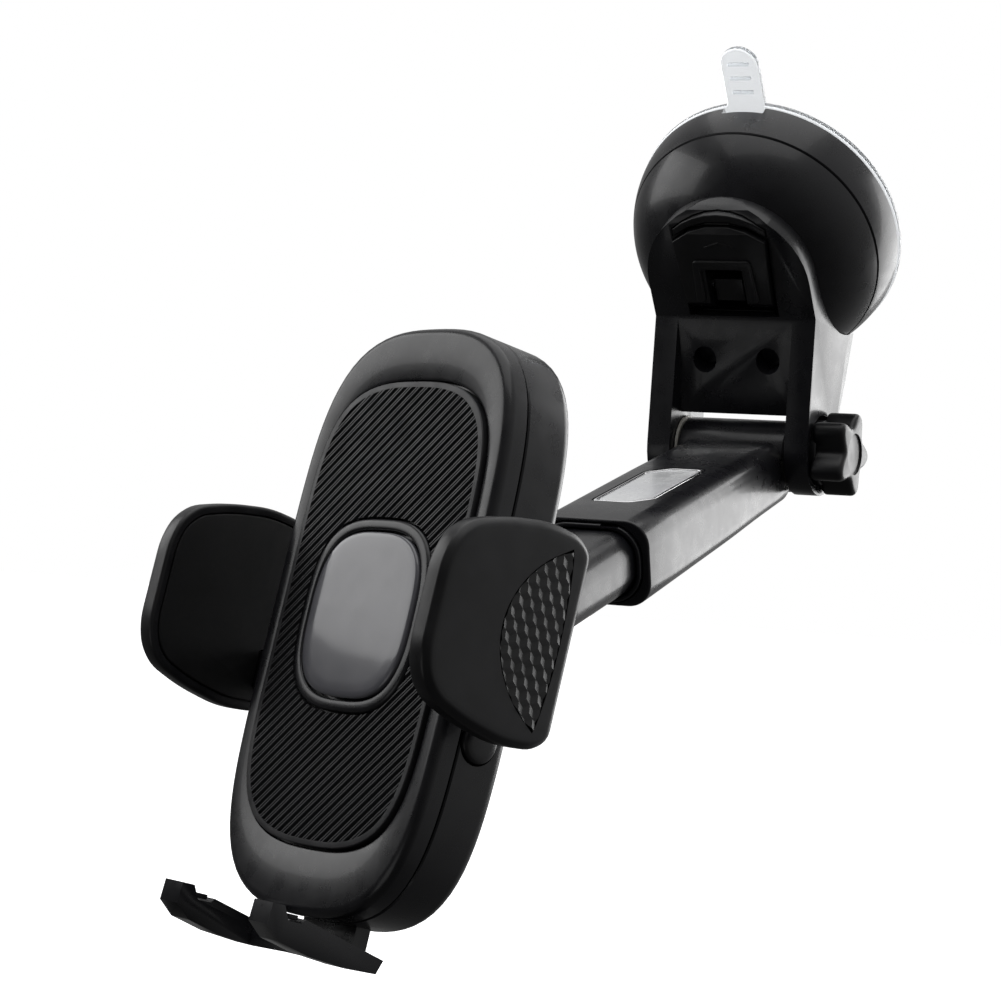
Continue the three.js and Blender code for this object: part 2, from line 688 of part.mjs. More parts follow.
function ballStud() {
  const ball = solid(new THREE.SphereGeometry(BALL_R, 24, 14).translate(0, -ARM_DROP, BALL_REACH));
  const neck = turned([[0, TUBE_END + 2], [NECK_R, TUBE_END + 2], [NECK_R, BALL_REACH], [0, BALL_REACH]], 20);
  const foot = [[0, TUBE_END + GAP], [FLANGE_R, TUBE_END + GAP], [FLANGE_R, TUBE_END + 1.6]];
  const cone = turned([...foot, [NECK_R, TUBE_END + 4.6], [0, TUBE_END + 4.6]], 24);
  const plug = solid(slab(tubeOutline(-TUBE_WALL - END_LIP - GAP), TUBE_END - 4, TUBE_END + 1));
  return ball.add(neck.add(cone).translate([0, -ARM_DROP, 0])).add(plug);
}

// ---------- cradle ----------
// Turned about the ball's axis, which runs along the cradle's y.
function turnedBack(profile, steps = 32) {
  const shape = turned(profile, steps);
  return solid(geometryOf(shape).rotateX(-Math.PI / 2).translate(0, BALL_BACK, BALL_UP));
}

// Points of an arc about the ball's centre, by the angle from the backward axis.
function ballArc(radius, from, to, steps) {
  const points = [];
  for (let i = 0; i <= steps; i += 1) {
    const angle = (from + ((to - from) * i) / steps) * RAD;
    points.push([radius * Math.sin(angle), radius * Math.cos(angle)]);
  }
  return points;
}

function ballLiner() {
  const inner = BALL_R + LINER_CLEAR;
  return turnedBack([...ballArc(inner + LINER_T, 172, 150, 2), ...ballArc(inner, 150, 172, 2)]);
}

function ballNut() {
  const inner = SOCKET_R + LINER_CLEAR;
  const lipZ = Math.sqrt((BALL_R + 0.2) ** 2 - LIP_R ** 2);
  const front = BODY_BACK + 0.5 - BALL_BACK;
  const profile = [
    [inner, front],
    [NUT_R, front],
    [NUT_R, 3.6],
    [NUT_R - 1.6, 5.2],
    [LIP_R + 1, lipZ + 1.1],
    [LIP_R, lipZ + 0.5],
    [LIP_R, lipZ],
    [CAVITY_R - 0.5, 1.4],
    [inner, 0.6],
  ];
  let nut = turnedBack(profile, 32);
  for (let i = 0; i < NUT_GROOVES; i += 1) {
    const angle = (2 * Math.PI * (i + 0.5)) / NUT_GROOVES;
    const [x, z] = [Math.cos(angle) * (NUT_R + 0.9), BALL_UP + Math.sin(angle) * (NUT_R + 0.9)];
    nut = nut.subtract(solid(slabY(circle(1.5, 8, x, z), BODY_BACK + 2.4, BALL_BACK + 3)));
  }
  return nut;
}

function socketBoss() {
  const low = BODY_BACK - 1 - BALL_BACK;
  const cavity = ballArc(CAVITY_R, 92, 180, 6);
  return turnedBack([[0, low], [SOCKET_R, low], [SOCKET_R, 0.3], ...cavity.slice(0, -1), [0, -CAVITY_R]]);
}

const bodyOutline = (inset) => superellipse(BODY_W - 2 * inset, BODY_H - 2 * inset, BODY_POWER, 40);
const padOutline = (grow) => superellipse(PAD_W + 2 * grow, PAD_H + 2 * grow, PAD_POWER, 40, PAD_UP);
const roundOutline = (grow) => superellipse(RING_W + 2 * grow, RING_H + 2 * grow, ROUND_POWER, 28);

function barBox(grow, level, x0, x1) {
  const near = BAR_NEAR - grow;
  const far = BAR_NEAR + BAR_W + grow;
  const [low, high] = level > 0 ? [near, far] : [-far, -near];
  return solid(box(x0, x1, BAR_FRONT - grow, BAR_BACK + grow, low, high));
}

function rearShell() {
  const outer = solid(slabY(bodyOutline(0), PARTING + GAP, BODY_BACK, 1.6))
    .add(solid(slabY(bodyOutline(0), PARTING + GAP, BODY_BACK - 4)));
  let shell = outer.subtract(solid(slabY(bodyOutline(BODY_WALL), 0, BODY_BACK - 2.2)));
  for (const [x, z] of CASE_SCREWS) {
    shell = shell.add(solid(slabY(circle(POST_R, 12, x, z), PARTING + 1, BODY_BACK - 1)));
  }
  shell = shell.add(socketBoss());
  for (const [x, z] of CASE_SCREWS) {
    shell = shell.subtract(solid(slabY(circle(SCREW_R + 0.15, 10, x, z), 0, BODY_BACK + 1)));
    shell = shell.subtract(solid(slabY(circle(SCREW_HEAD_R + 0.2, 12, x, z), BODY_BACK - 2, BODY_BACK + 1)));
  }
  shell = shell.subtract(barBox(RUN, LOW_BAR, -BODY_W, BODY_W));
  shell = shell.subtract(barBox(RUN, HIGH_BAR, -BODY_W, BODY_W));
  const buttonHole = BUTTON.r + RUN;
  shell = shell.subtract(solid(rodX(buttonHole, -BODY_W, -BODY_W / 4, BUTTON.y, BUTTON.z)));
  shell = shell.subtract(solid(rodX(buttonHole, BODY_W / 4, BODY_W, BUTTON.y, BUTTON.z)));
  return shell.subtract(footStemSlot());
}

function footStemSlot() {
  const half = STEM_BAR.half + RUN;
  const front = STEM_BAR.back - STEM_BAR.t - RUN;
  return solid(box(-half, half, front, STEM_BAR.back + RUN, -BODY_H, -BODY_H / 2 + 8));
}

function frontFrame() {
  const skin = solid(slabY(bodyOutline(0), FRAME_FRONT, PARTING + 4, 1.8));
  let frame = skin.subtract(solid(box(-BODY_W, BODY_W, PARTING, PARTING + 9, -BODY_H, BODY_H)));
  frame = frame.subtract(solid(slabY(bodyOutline(BODY_WALL), PAD_SEAT + 2.2, PARTING + 9)));
  frame = frame.subtract(solid(slabY(padOutline(GAP), 0, PAD_SEAT + GAP)));
  for (const [x, z] of CASE_SCREWS) {
    frame = frame.add(solid(slabY(circle(POST_R, 12, x, z), PAD_SEAT + 1, PARTING)));
    frame = frame.subtract(solid(slabY(circle(SCREW_R + 0.15, 10, x, z), PAD_SEAT + 1.8, PARTING + 2)));
  }
  const window = superellipse(PANEL_WINDOW, PANEL_WINDOW, ROUND_POWER, 32);
  return frame.subtract(solid(slabY(window, 0, PARTING + 1)));
}

function ribbedPad() {
  const plate = solid(slabY(padOutline(0), PAD_FRONT, PAD_SEAT));
  return plate.subtract(solid(slabY(roundOutline(GAP), 0, PARTING)));
}

function centreRing() {
  const ring = solid(slabY(roundOutline(0), RING_FRONT, PAD_SEAT));
  return ring.subtract(solid(slabY(roundOutline(-RING_WALL), 0, PARTING)));
}

function centrePanel() {
  const cap = solid(slabY(roundOutline(-RING_WALL - RUN), PANEL_FRONT, PANEL_FRONT + 1.2, 0.3));
  const post = solid(slabY(circle(PANEL_POST_R, 24), PANEL_FRONT + 0.6, PANEL_FRONT + PANEL_T + 2));
  const hollow = solid(slabY(circle(PANEL_POST_R - 2.4, 24), PANEL_FRONT + 1.4, PARTING + 2));
  return cap.add(post).subtract(hollow);
}

// A coil of square turns, drawn at its pressed length.
function triggerSpring() {
  const { r: radius, wire, turns, perTurn } = SPRING;
  const [front, back] = [PANEL_FRONT + PANEL_TRAVEL + 2, BAR_FRONT - 1.8 - GAP - wire];
  const points = [];
  for (let i = 0; i <= turns * perTurn; i += 1) {
    const angle = (2 * Math.PI * i) / perTurn;
    const y = front + ((back - front) * i) / (turns * perTurn);
    points.push(new THREE.Vector3(radius * Math.cos(angle), y, radius * Math.sin(angle)));
  }
  const path = new THREE.CatmullRomCurve3(points);
  const way = { steps: turns * perTurn, extrudePath: path, bevelEnabled: false };
  return new THREE.ExtrudeGeometry(circle(wire, 6), way);
}

function gearOutline() {
  const points = [];
  const [root, tip] = [PITCH_R - TOOTH.ded, PITCH_R + TOOTH.add];
  for (let i = 0; i < GEAR_TEETH; i += 1) {
    const middle = (360 * i) / GEAR_TEETH + 90;
    const wide = ((TOOTH.half + TOOTH.lean) / root) / RAD;
    const narrow = ((TOOTH.half - TOOTH.lean * 0.8) / tip) / RAD;
    for (const [radius, angle] of [[root, -wide], [tip, -narrow], [tip, narrow], [root, wide]]) {
      points.push([radius * Math.cos((middle + angle) * RAD), radius * Math.sin((middle + angle) * RAD)]);
    }
  }
  return outline(points);
}

function pinionGear() {
  const gear = solid(slabY(gearOutline(), BAR_FRONT, BAR_BACK - 0.6));
  return gear.subtract(solid(slabY(circle(1.8, 20), 0, BODY_BACK)));
}

function gearAxle() {
  const pin = solid(slabY(circle(1.5, 20), BAR_FRONT - 0.6, BODY_BACK - 2.2 - GAP));
  return pin.add(solid(slabY(circle(SPRING.r + SPRING.wire, 20), BAR_FRONT - 1.8, BAR_FRONT - 0.4)));
}

// The bar behind a jaw: level +1 lies above the pinion and -1 below; side is the jaw's side.
function jawRack(side, level) {
  const pitch = Math.PI * GEAR_MODULE;
  const inner = -(JAW_TRAVEL + 3 * pitch);
  const outer = JAW_IN + JAW_PAD_T - GAP;
  let rack = barBox(0, 1, inner, outer);
  // A gap of the rack faces the gear's tooth at rest.
  for (let i = -3; i < 6; i += 1) {
    const x = (i + 0.5) * pitch;
    if (x < inner + 1) continue;
    const base = BAR_NEAR + 0.2;
    const [low, high] = [TOOTH.half + TOOTH.lean, TOOTH.half - TOOTH.lean];
    const tip = PITCH_R - TOOTH.add;
    const tooth = outline([[x - high, tip], [x + high, tip], [x + low, base], [x - low, base]]);
    rack = rack.add(solid(slabY(tooth, BAR_FRONT, BAR_BACK)));
  }
  const shape = geometryOf(rack);
  if (side * level < 0) shape.scale(side, 1, level);
  else if (side < 0) shape.rotateY(Math.PI);
  return side * level < 0 ? solid(flip(shape)) : solid(shape);
}

// Turns each face round after a mirroring.
function flip(geometry) {
  const index = geometry.index;
  for (let i = 0; i < index.count; i += 3) {
    const kept = index.getX(i);
    index.setX(i, index.getX(i + 1));
    index.setX(i + 1, kept);
  }
  return geometry;
}

// The jaw's outline on the side view: straight behind, bowed in front, as [y, z].
function jawOutline(inset) {
  const points = [];
  const { front, back, half } = JAW;
  const corners = [
    [back - 0.6, half - 3],
    [back - 4, half - 0.6],
    [back - 11, half],
    [front + 12, half - 1.6],
    [front + 5, half - 4],
    [front + 1.8, half - 7.4],
    [front + 0.4, half - 12],
  ];
  for (const [y, z] of corners) points.push([y, z]);
  for (const [y, z] of [...corners].reverse()) points.push([y, -z]);
  const middle = (front + back) / 2;
  return outline(points.map(([y, z]) => [middle + (y - middle) * (1 - inset / 16), z * (1 - inset / half)]));
}


// A lens with two sharp tips, its straighter side behind, as [y, z].
function gripOutline(grow) {
  const { top, bulge, power, back, lean, steps } = GRIP;
  const at = (i) => -1 + (2 * i) / steps;
  const tipY = back - lean;
  const tipZ = top + 2 * grow;
  const points = [[tipY, -tipZ]];
  for (let i = 1; i < steps; i += 1) {
    points.push([back + grow - lean * at(i) ** 2, top * at(i)]);
  }
  points.push([tipY, tipZ]);
  for (let i = steps - 1; i >= 1; i -= 1) {
    points.push([back - grow - bulge * (1 - at(i) ** 2) ** power - lean * at(i) ** 2, top * at(i)]);
  }
  return outline(points);
}

function jawPlate(level) {
  const low = JAW_IN + JAW_PAD_T + GAP;
  let jaw = solid(slabX(jawOutline(0), JAW_IN, low + JAW_T, 0.9));
  jaw = jaw.subtract(solid(slabX(jawOutline(JAW.lip), 0, low)));
  jaw = jaw.subtract(solid(slabX(gripOutline(GAP), low + JAW_T - 0.8 - GAP, low + JAW_T + 3)));
  const far = BAR_NEAR + BAR_W;
  const [z0, z1] = level > 0 ? [BAR_NEAR - GAP, far + GAP] : [-far - GAP, -BAR_NEAR + GAP];
  return jaw.subtract(solid(box(0, low + 1.2, BAR_FRONT - GAP, BAR_BACK + GAP, z0, z1)));
}

function jawPad(level) {
  const pad = solid(slabX(jawOutline(JAW.lip + GAP), JAW_IN, JAW_IN + JAW_PAD_T));
  const far = BAR_NEAR + BAR_W;
  const [z0, z1] = level > 0 ? [BAR_NEAR - GAP, far + GAP] : [-far - GAP, -BAR_NEAR + GAP];
  return pad.subtract(solid(box(0, JAW_IN + 4, BAR_FRONT - GAP, 40, z0, z1)));
}

function grip() {
  const low = JAW_IN + JAW_PAD_T + GAP + JAW_T - 0.8;
  return solid(slabX(gripOutline(0), low, low + 1.1));
}

function mirrored(shape) {
  return shape.mirror([1, 0, 0]);
}

function releaseButton() {
  const cap = solid(rodX(BUTTON.r, BUTTON.x - 5.5, BUTTON.x + 0.9, BUTTON.y, BUTTON.z));
  const flangeEnd = BUTTON.x - BODY_WALL - 0.9;
  const flange = solid(rodX(BUTTON.r + 0.5, BUTTON.x - 5.5, flangeEnd, BUTTON.y, BUTTON.z));
  return cap.add(flange);
}

// ---------- foot ----------

function footSide() {
  const { front, back, top } = FOOT;
  return outline([
    [front, top + 1],
    [front - 0.2, top - 2.8],
    [front + 3, top - 5.2],
    [front + 10, top - 6.6],
    [front + 18, top - 7.2],
    [back, top - 7],
    [back + 1, top - 4.4],
    [front + 7.6, top - 0.6],
    [front + 6.8, top - 1.4],
    [front + 4, top - 1.4],
    [front + 2.6, top + 1],
  ]);
}

function footBracket() {
  const { back, top, low, high } = FOOT;
  const wide = FOOT_HALF + FOOT_W / 2;
  const inner = FOOT_HALF - 3;
  const front = [[-wide, back - 5], [-inner, back - 8], [0, back - 3.6], [inner, back - 8], [wide, back - 5]];
  const bridge = outline([...front, [wide, back], [-wide, back]]);
  const { half, t, back: stemBack, top: stemTop } = STEM_BAR;
  const stem = box(-half, half, stemBack - t, stemBack, top - low, stemTop);
  const knee = box(-half, half, back - 3, stemBack, top - low, top - high);
  let foot = solid(slab(bridge, top - low, top - high)).add(solid(stem)).add(solid(knee));
  for (const side of [-1, 1]) {
    const middle = side * FOOT_HALF;
    foot = foot.add(solid(slabX(footSide(), middle - FOOT_W / 2, middle + FOOT_W / 2)));
  }
  return foot;
}

function footPad(side) {
  const { front, top } = FOOT;
  const middle = side * FOOT_HALF;
  return solid(box(middle - 2, middle + 2, front + 4.3, front + 6.5, top - 1.1, top - 0.2));
}

function caseScrew(x, z) {
  const head = solid(slabY(circle(SCREW_HEAD_R, 12, x, z), BODY_BACK - 1.7, BODY_BACK - 0.4));
  return head.add(solid(slabY(circle(SCREW_R, 10, x, z), PAD_SEAT + 2.4, BODY_BACK - 1)));
}

function forkScrew(side) {
  const head = screwRod(SCREW_HEAD_R, SCREW_SEAT, SCREW_SEAT + 2, side);
  return head.add(screwRod(SCREW_R, WELL_FLOOR_Z - DECK_T + 2, SCREW_SEAT + 0.5, side));
}

// ---------- assembly ----------
const mount = new THREE.Group();

const base = new THREE.Group();
base.rotation.x = (90 + SLOPE) * RAD;
mount.add(base);
base.updateMatrix();
add(base, "gel_pad", gelPad(), clearGel());
add(base, "suction_cup", suctionCup(), rubber());
add(base, "dome_rim", domeRim(), glossBlack());
add(base, "base_dome", baseDome(), glossBlack());
add(base, "cup_stem", cupStem(), satinBlack());
const PIN_HALF = LEVER_HALF_BOTTOM - 0.6;
add(base, "lever_pin", rodX(PIN_R, -PIN_HALF, PIN_HALF, PIN_Y, PIN_Z, 20), steel());
add(base, "lock_lever", lockLever(), satinBlack());
add(base, "lock_band", slab(bandShape(0), HEAD_Z - BAND.t + GAP, HEAD_Z + BAND.proud), satinBlack());
add(base, "fork_screw_left", forkScrew(-1), blackSteel());
add(base, "fork_screw_right", forkScrew(1), blackSteel());
add(mount, "fork_bracket", forkBracket(base.matrix), glossBlack());

const pivot = new THREE.Group();
pivot.position.set(0, -PIVOT_OUT, -PIVOT_DROP);
mount.add(pivot);
add(pivot, "pivot_bolt", pivotBolt(), blackSteel());
add(pivot, "friction_washer_left", washer(-1), nylon());
add(pivot, "friction_washer_right", washer(1), nylon());
add(pivot, "clamp_knob", clampKnob(), satinBlack());

const arm = new THREE.Group();
arm.rotation.x = (90 + ARM_SLOPE) * RAD;
pivot.add(arm);
add(arm, "outer_arm", outerArm(), glossBlack());
add(arm, "arm_badge", badgeSlab(0, -BADGE.t, 0), silver());
add(arm, "arm_collar", armCollar(), glossBlack());
add(arm, "inner_tube", innerTube(), glossBlack());
add(arm, "guide_shoe", guideShoe(), nylon());
add(arm, "ball_stud", ballStud(), satinBlack());

const ballPoint = new THREE.Group();
ballPoint.position.set(0, -ARM_DROP, BALL_REACH).applyEuler(arm.rotation);
ballPoint.rotation.z = CRADLE_YAW * RAD;
pivot.add(ballPoint);
const tilt = new THREE.Group();
tilt.rotation.x = CRADLE_TILT * RAD;
ballPoint.add(tilt);
const cradle = new THREE.Group();
cradle.position.set(0, -BALL_BACK, -BALL_UP);
tilt.add(cradle);
add(cradle, "ball_liner", ballLiner(), nylon());
add(cradle, "ball_nut", ballNut(), satinBlack());
add(cradle, "rear_shell", rearShell(), glossBlack());
add(cradle, "front_frame", frontFrame(), glossBlack());
add(cradle, "ribbed_pad", ribbedPad(), rubber());
add(cradle, "centre_ring", centreRing(), glossBlack());
add(cradle, "centre_panel", centrePanel(), panelGrey());
add(cradle, "trigger_spring", triggerSpring(), steel());
add(cradle, "pinion_gear", pinionGear(), nylon());
add(cradle, "gear_axle", gearAxle(), steel());
add(cradle, "rack_left", jawRack(-1, LOW_BAR), satinBlack());
add(cradle, "rack_right", jawRack(1, HIGH_BAR), satinBlack());
add(cradle, "jaw_left", mirrored(jawPlate(LOW_BAR)), satinBlack());
add(cradle, "jaw_right", jawPlate(HIGH_BAR), satinBlack());
add(cradle, "jaw_pad_left", mirrored(jawPad(LOW_BAR)), rubber());
add(cradle, "jaw_pad_right", jawPad(HIGH_BAR), rubber());
add(cradle, "grip_left", mirrored(grip()), rubber());
add(cradle, "grip_right", grip(), rubber());
add(cradle, "release_button_left", mirrored(releaseButton()), satinBlack());
add(cradle, "release_button_right", releaseButton(), satinBlack());
add(cradle, "foot_bracket", footBracket(), glossBlack());
add(cradle, "foot_pad_left", footPad(-1), rubber());
add(cradle, "foot_pad_right", footPad(1), rubber());
CASE_SCREWS.forEach(([x, z], i) => add(cradle, `case_screw_${i + 1}`, caseScrew(x, z), steel()));

export default mount;
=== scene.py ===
"""Looks of the windscreen phone mount, built around its CAD parts in the row frame."""

import json
import math

import bmesh
import bpy
from mathutils import Matrix, Vector


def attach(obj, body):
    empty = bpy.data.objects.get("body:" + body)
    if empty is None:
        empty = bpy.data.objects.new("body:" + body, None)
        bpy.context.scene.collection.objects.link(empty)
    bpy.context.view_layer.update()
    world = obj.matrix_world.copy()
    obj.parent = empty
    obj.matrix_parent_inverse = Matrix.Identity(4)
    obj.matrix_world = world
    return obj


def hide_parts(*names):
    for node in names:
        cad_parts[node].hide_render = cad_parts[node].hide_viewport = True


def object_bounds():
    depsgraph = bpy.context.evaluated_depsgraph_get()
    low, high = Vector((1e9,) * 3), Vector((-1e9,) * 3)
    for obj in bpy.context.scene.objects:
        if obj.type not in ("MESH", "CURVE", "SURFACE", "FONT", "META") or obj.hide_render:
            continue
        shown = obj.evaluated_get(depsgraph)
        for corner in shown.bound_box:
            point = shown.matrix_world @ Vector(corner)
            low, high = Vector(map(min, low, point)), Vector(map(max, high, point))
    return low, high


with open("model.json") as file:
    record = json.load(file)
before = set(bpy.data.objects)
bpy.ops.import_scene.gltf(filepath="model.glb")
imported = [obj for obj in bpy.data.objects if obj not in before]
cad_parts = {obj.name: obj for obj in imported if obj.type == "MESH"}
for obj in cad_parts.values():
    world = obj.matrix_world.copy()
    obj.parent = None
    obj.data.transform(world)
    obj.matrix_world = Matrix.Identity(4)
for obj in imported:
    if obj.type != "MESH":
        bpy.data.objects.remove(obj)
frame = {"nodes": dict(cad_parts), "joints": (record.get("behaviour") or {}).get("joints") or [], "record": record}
cad_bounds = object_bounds()

# ---------- driving sizes, in millimetres ----------
MM = 0.001
GAP = 0.3  # between pieces that seat on each other
RUN = 0.4  # between pieces that slide
PAD_R, PAD_T = 31.0, 1.5
TAB_W, TAB_LENGTH = 9.0, 13.6
TAB_RIB = {"count": 3, "first": 2.6, "pitch": 3.4, "w": 5, "t": 0.8}
DOME_R, DOME_H, DOME_POWER, DOME_WALL = 30.8, 28.0, 2.2, 2.2
SEAM_Z, SHOULDER_R = 11.2, 18.4
WELL_R, WELL_FLOOR, DECK_T = 15.0, 16.6, 2.5
STEM = (6.6, 5.4, -1.0)  # width, depth and place of the stem in the base's plane
PIN_R, PIN_HALF, PIN_PLACE = 1.5, 9.3, (-1, 24.5)
LEVER_FACE = 29.42
ARCH = {"half": 7.4, "foot": -3.3, "crown": 7.4, "wall": 2.3, "proud": 0.7}
EYE_FACE = 16.6
BOLT_R, BOLT_TAIL, BOLT_HEAD_R, BOLT_HEAD_T = 2.9, 6.8, 5.2, 3.8
KNOB = {"lobes": 5, "r": 7.8, "wave": 1.7, "length": 10.2, "collar_r": 7.2, "collar_t": 3.2, "dish_r": 4.6}
ARM_ROOT, ARM_MOUTH, ARM_DROP = 3.0, 83.5, 3.8
ARM_W, ARM_H, ARM_ROOT_H, ARM_CORNER = 26.0, 17.8, 14.4, 5.2
HUB_R, HUB_DROP, HUB_HALF = 7.9, 1.2, 12.6
TUBE_W, TUBE_H, TUBE_CORNER = 20.0, 13.4, 5.4
TUBE_START, TUBE_END, BORE_END = 31.0, 113.0, 11.4
COLLAR_LENGTH, COLLAR_T = 8.0, 1.3
BADGE_W, BADGE_LENGTH, BADGE_FROM, BADGE_T = 12.2, 32.0, 36.0, 0.8
BALL_REACH, BALL_R, NECK_R = 132.0, 8.5, 3.6
BALL_BACK, BALL_UP = 29.2, 4.5
SOCKET_R, CAVITY_CLEAR = 11.2, 0.9
BODY_W, BODY_H, BODY_POWER = 59.0, 109.3, (2.8, 5)
FRAME_FRONT, PARTING, BODY_BACK, BODY_WALL = 1.6, 6.4, 17.6, 2.0
WINDOW_W, WINDOW_BACK = 24, 5
RIB_W, RIB_H, RIB_POWER, RIB_UP = 49.6, 86.4, (2.8, 6), 0.8
RIB_FRONT, RIB_SEAT, RIB_ANGLE, RIB_PITCH, RIB_RIM = 1.0, 2.8, 42.0, 1.66, 1.1
RIB_COUNT = 56
RIDGE_GROOVE, CREST_GROOVE = (1.05, 0.62), (0.44, 0.14)  # width and depth
RING_W, RING_H, RING_WALL, RING_FRONT = 35.6, 36.0, 2.2, 0.7
PANEL_FRONT, PANEL_POST_R, PANEL_POST_BORE = 0.3, 8.6, 6.2
# (inset, front) pairs of the panel's shallow crown, from its edge to its middle
PANEL_CROWN = [(0, 0.85), (0.15, 0.6), (0.5, 0.42), (1.2, 0.34), (3, 0.31)]
PANEL_CROWN += [(8, PANEL_FRONT), (14, PANEL_FRONT)]
JAW_IN, JAW_PAD_T, JAW_T = 39.55, 1.0, 3.6
BAR_W, BAR_T, BAR_BACK, BAR_NEAR = 7.0, 4.0, 13.0, 7.4
BUTTON = {"x": BODY_W / 2, "y": 10.7, "z": -18.9, "r": 3.7}
CASE_SCREWS = [(-18, 40), (18, 40), (-18, -34), (18, -34)]
SCREW_SEAT_R, SCREW_SEAT_DEPTH = 2.8, 2
# half of the jaw's outline, back to front; the other half mirrors it
JAW_SHAPE = [(14.2, 16.6), (10.8, 19), (3.8, 19.6), (-5.4, 18), (-12.4, 15.6), (-15.6, 12.2), (-17, 7.6)]
# (inset, depth) pairs from the jaw's side over its bevel to its face
JAW_BEVEL = [(0, 1.5), (0.08, 1.25), (0.25, 1.0), (0.95, 0.35), (1.2, 0.2), (1.6, 0.13)]
JAW_CROWN = [(0.95, 0.1), (0.8, 0.03), (0.5, 0.0)]  # share of the outline and depth
JAW_PAD_INSET, JAW_FACE_INSET = 1.9, 1.6
GRIP = {"top": 15.6, "bulge": 12.8, "power": 0.8, "back": 10.8, "lean": 1.4, "steps": 32}
BLOCK = {"pitch": 1.45, "step": 0.3, "deep": 1.05, "proud": 0.28, "across": 26, "up": 16, "middle": 5}
GRIP_SHADE_TURN = 30  # degrees by which the three painted shades of the blocks are turned

# ---------- stage and camera, in metres ----------
FLOOR_DROP, FLOOR_HALF = 0.05, 9
ROOM_BRIGHT_SIDE = (0.35, 0.55, 0.75)
ROOM_DIM, ROOM_BRIGHT = 0.07, 0.6
EYE_PLACE = (0.24378, -0.63112, -0.08397)
EYE_FORWARD, EYE_RIGHT = (-0.437, 0.8991, 0.0252), (0.898, 0.4345, 0.07)
SENSOR, LENS = 36, 107.03

# ---------- frames of the bodies ----------
JOINTS = {j["name"]: j for j in frame["joints"]}


def joint_axis(name):
    return Vector(JOINTS[name]["axis"]).normalized()


def joint_point(name):
    return Vector(JOINTS[name]["pos_m"])


def local_frame(origin, x, z):
    """Matrix from a body's own millimetres to the row frame."""
    y = z.cross(x)
    turn = Matrix((x, y, z)).transposed().to_4x4()
    return Matrix.Translation(origin) @ turn @ Matrix.Scale(MM, 4)


SIDE = Vector((1, 0, 0))
PIVOT_POINT = joint_point("arm_tilt")
BASE = local_frame(Vector((0, 0, 0)), SIDE, joint_axis("stem_slide"))
PIVOT = Matrix.Translation(PIVOT_POINT) @ Matrix.Scale(MM, 4)
ARM = local_frame(PIVOT_POINT, SIDE, joint_axis("arm_reach"))
CRADLE_X = joint_axis("jaw_right_slide")
CRADLE_Y = joint_axis("cradle_turn")
CRADLE_ORIGIN = joint_point("pinion_spin") - CRADLE_Y * 10 * MM
CRADLE = local_frame(CRADLE_ORIGIN, CRADLE_X, CRADLE_X.cross(CRADLE_Y))


# ---------- meshes ----------
def new_object(name, verts, faces, where):
    mesh = bpy.data.meshes.new(name)
    mesh.from_pydata([tuple(v) for v in verts], [], faces)
    mesh.update()
    bm = bmesh.new()
    bm.from_mesh(mesh)
    bmesh.ops.recalc_face_normals(bm, faces=bm.faces)
    bm.to_mesh(mesh)
    bm.free()
    mesh.transform(where)
    if where.determinant() < 0:
        mesh.flip_normals()
    obj = bpy.data.objects.new(name, mesh)
    bpy.context.scene.collection.objects.link(obj)
    return obj


def loft(name, rings, where, loop=False):
    """A skin through rings of equal length, closed on itself or capped at both ends."""
    count = len(rings[0])
    verts = [point for ring in rings for point in ring]
    faces = []
    last = len(rings) if loop else len(rings) - 1
    for k in range(last):
        a, b = k * count, ((k + 1) % len(rings)) * count
        for i in range(count):
            j = (i + 1) % count
            faces.append((a + i, a + j, b + j, b + i))
    if not loop:
        faces.append(tuple(range(count))[::-1])
        faces.append(tuple(range((len(rings) - 1) * count, len(rings) * count)))
    return new_object(name, verts, faces, where)


def lathe(name, profile, where, steps=96, centre=(0, 0), axis="z"):
    """A closed profile of (radius, height) turned about an axis; radius 0 is a pole."""
    profile = [(max(r, 0.001), h) for r, h in profile]
    rings = []
    for r, h in profile:
        circle = [(r * math.cos(a), r * math.sin(a)) for a in angles(steps)]
        rings.append([to_axis(axis, centre[0] + u, centre[1] + v, h) for u, v in circle])
    solid = profile[0][0] <= 0.001 and profile[-1][0] <= 0.001
    return loft(name, rings, where, loop=not solid)


def angles(steps, start=0.0):
    return [start + 2 * math.pi * i / steps for i in range(steps)]


def to_axis(axis, u, v, depth):
    """A point of an outline at a depth: along z, or along y with v up, or along x with u back and v up."""
    if axis == "z":
        return (u, v, depth)
    if axis == "y":
        return (u, depth, v)
    return (depth, u, v)


def inset(points, distance):
    """The outline moved inwards along its own corners."""
    count = len(points)
    area = 0
    for i in range(count):
        here, ahead = points[i], points[(i + 1) % count]
        area += here[0] * ahead[1] - ahead[0] * here[1]
    turn = 1 if area > 0 else -1
    moved = []
    for i in range(count):
        before = Vector(points[i]) - Vector(points[i - 1])
        after = Vector(points[(i + 1) % count]) - Vector(points[i])
        before.normalize()
        after.normalize()
        n1 = Vector((-before.y, before.x)) * turn
        n2 = Vector((-after.y, after.x)) * turn
        middle = n1 + n2
        middle.normalize()
        reach = distance / max(0.5, middle.dot(n1))
        moved.append((points[i][0] + middle.x * reach, points[i][1] + middle.y * reach))
    return moved


def round_corners(points, radius, steps=5):
    """The polygon with an arc in each corner."""
    count = len(points)
    out = []
    for i in range(count):
        here = Vector(points[i])
        back = Vector(points[i - 1]) - here
        ahead = Vector(points[(i + 1) % count]) - here
        reach = min(radius, back.length * 0.45, ahead.length * 0.45)
        start = here + back.normalized() * reach
        end = here + ahead.normalized() * reach
        for k in range(steps + 1):
            t = k / steps
            point = start * (1 - t) ** 2 + here * 2 * t * (1 - t) + end * t**2
            out.append((point.x, point.y))
    return out


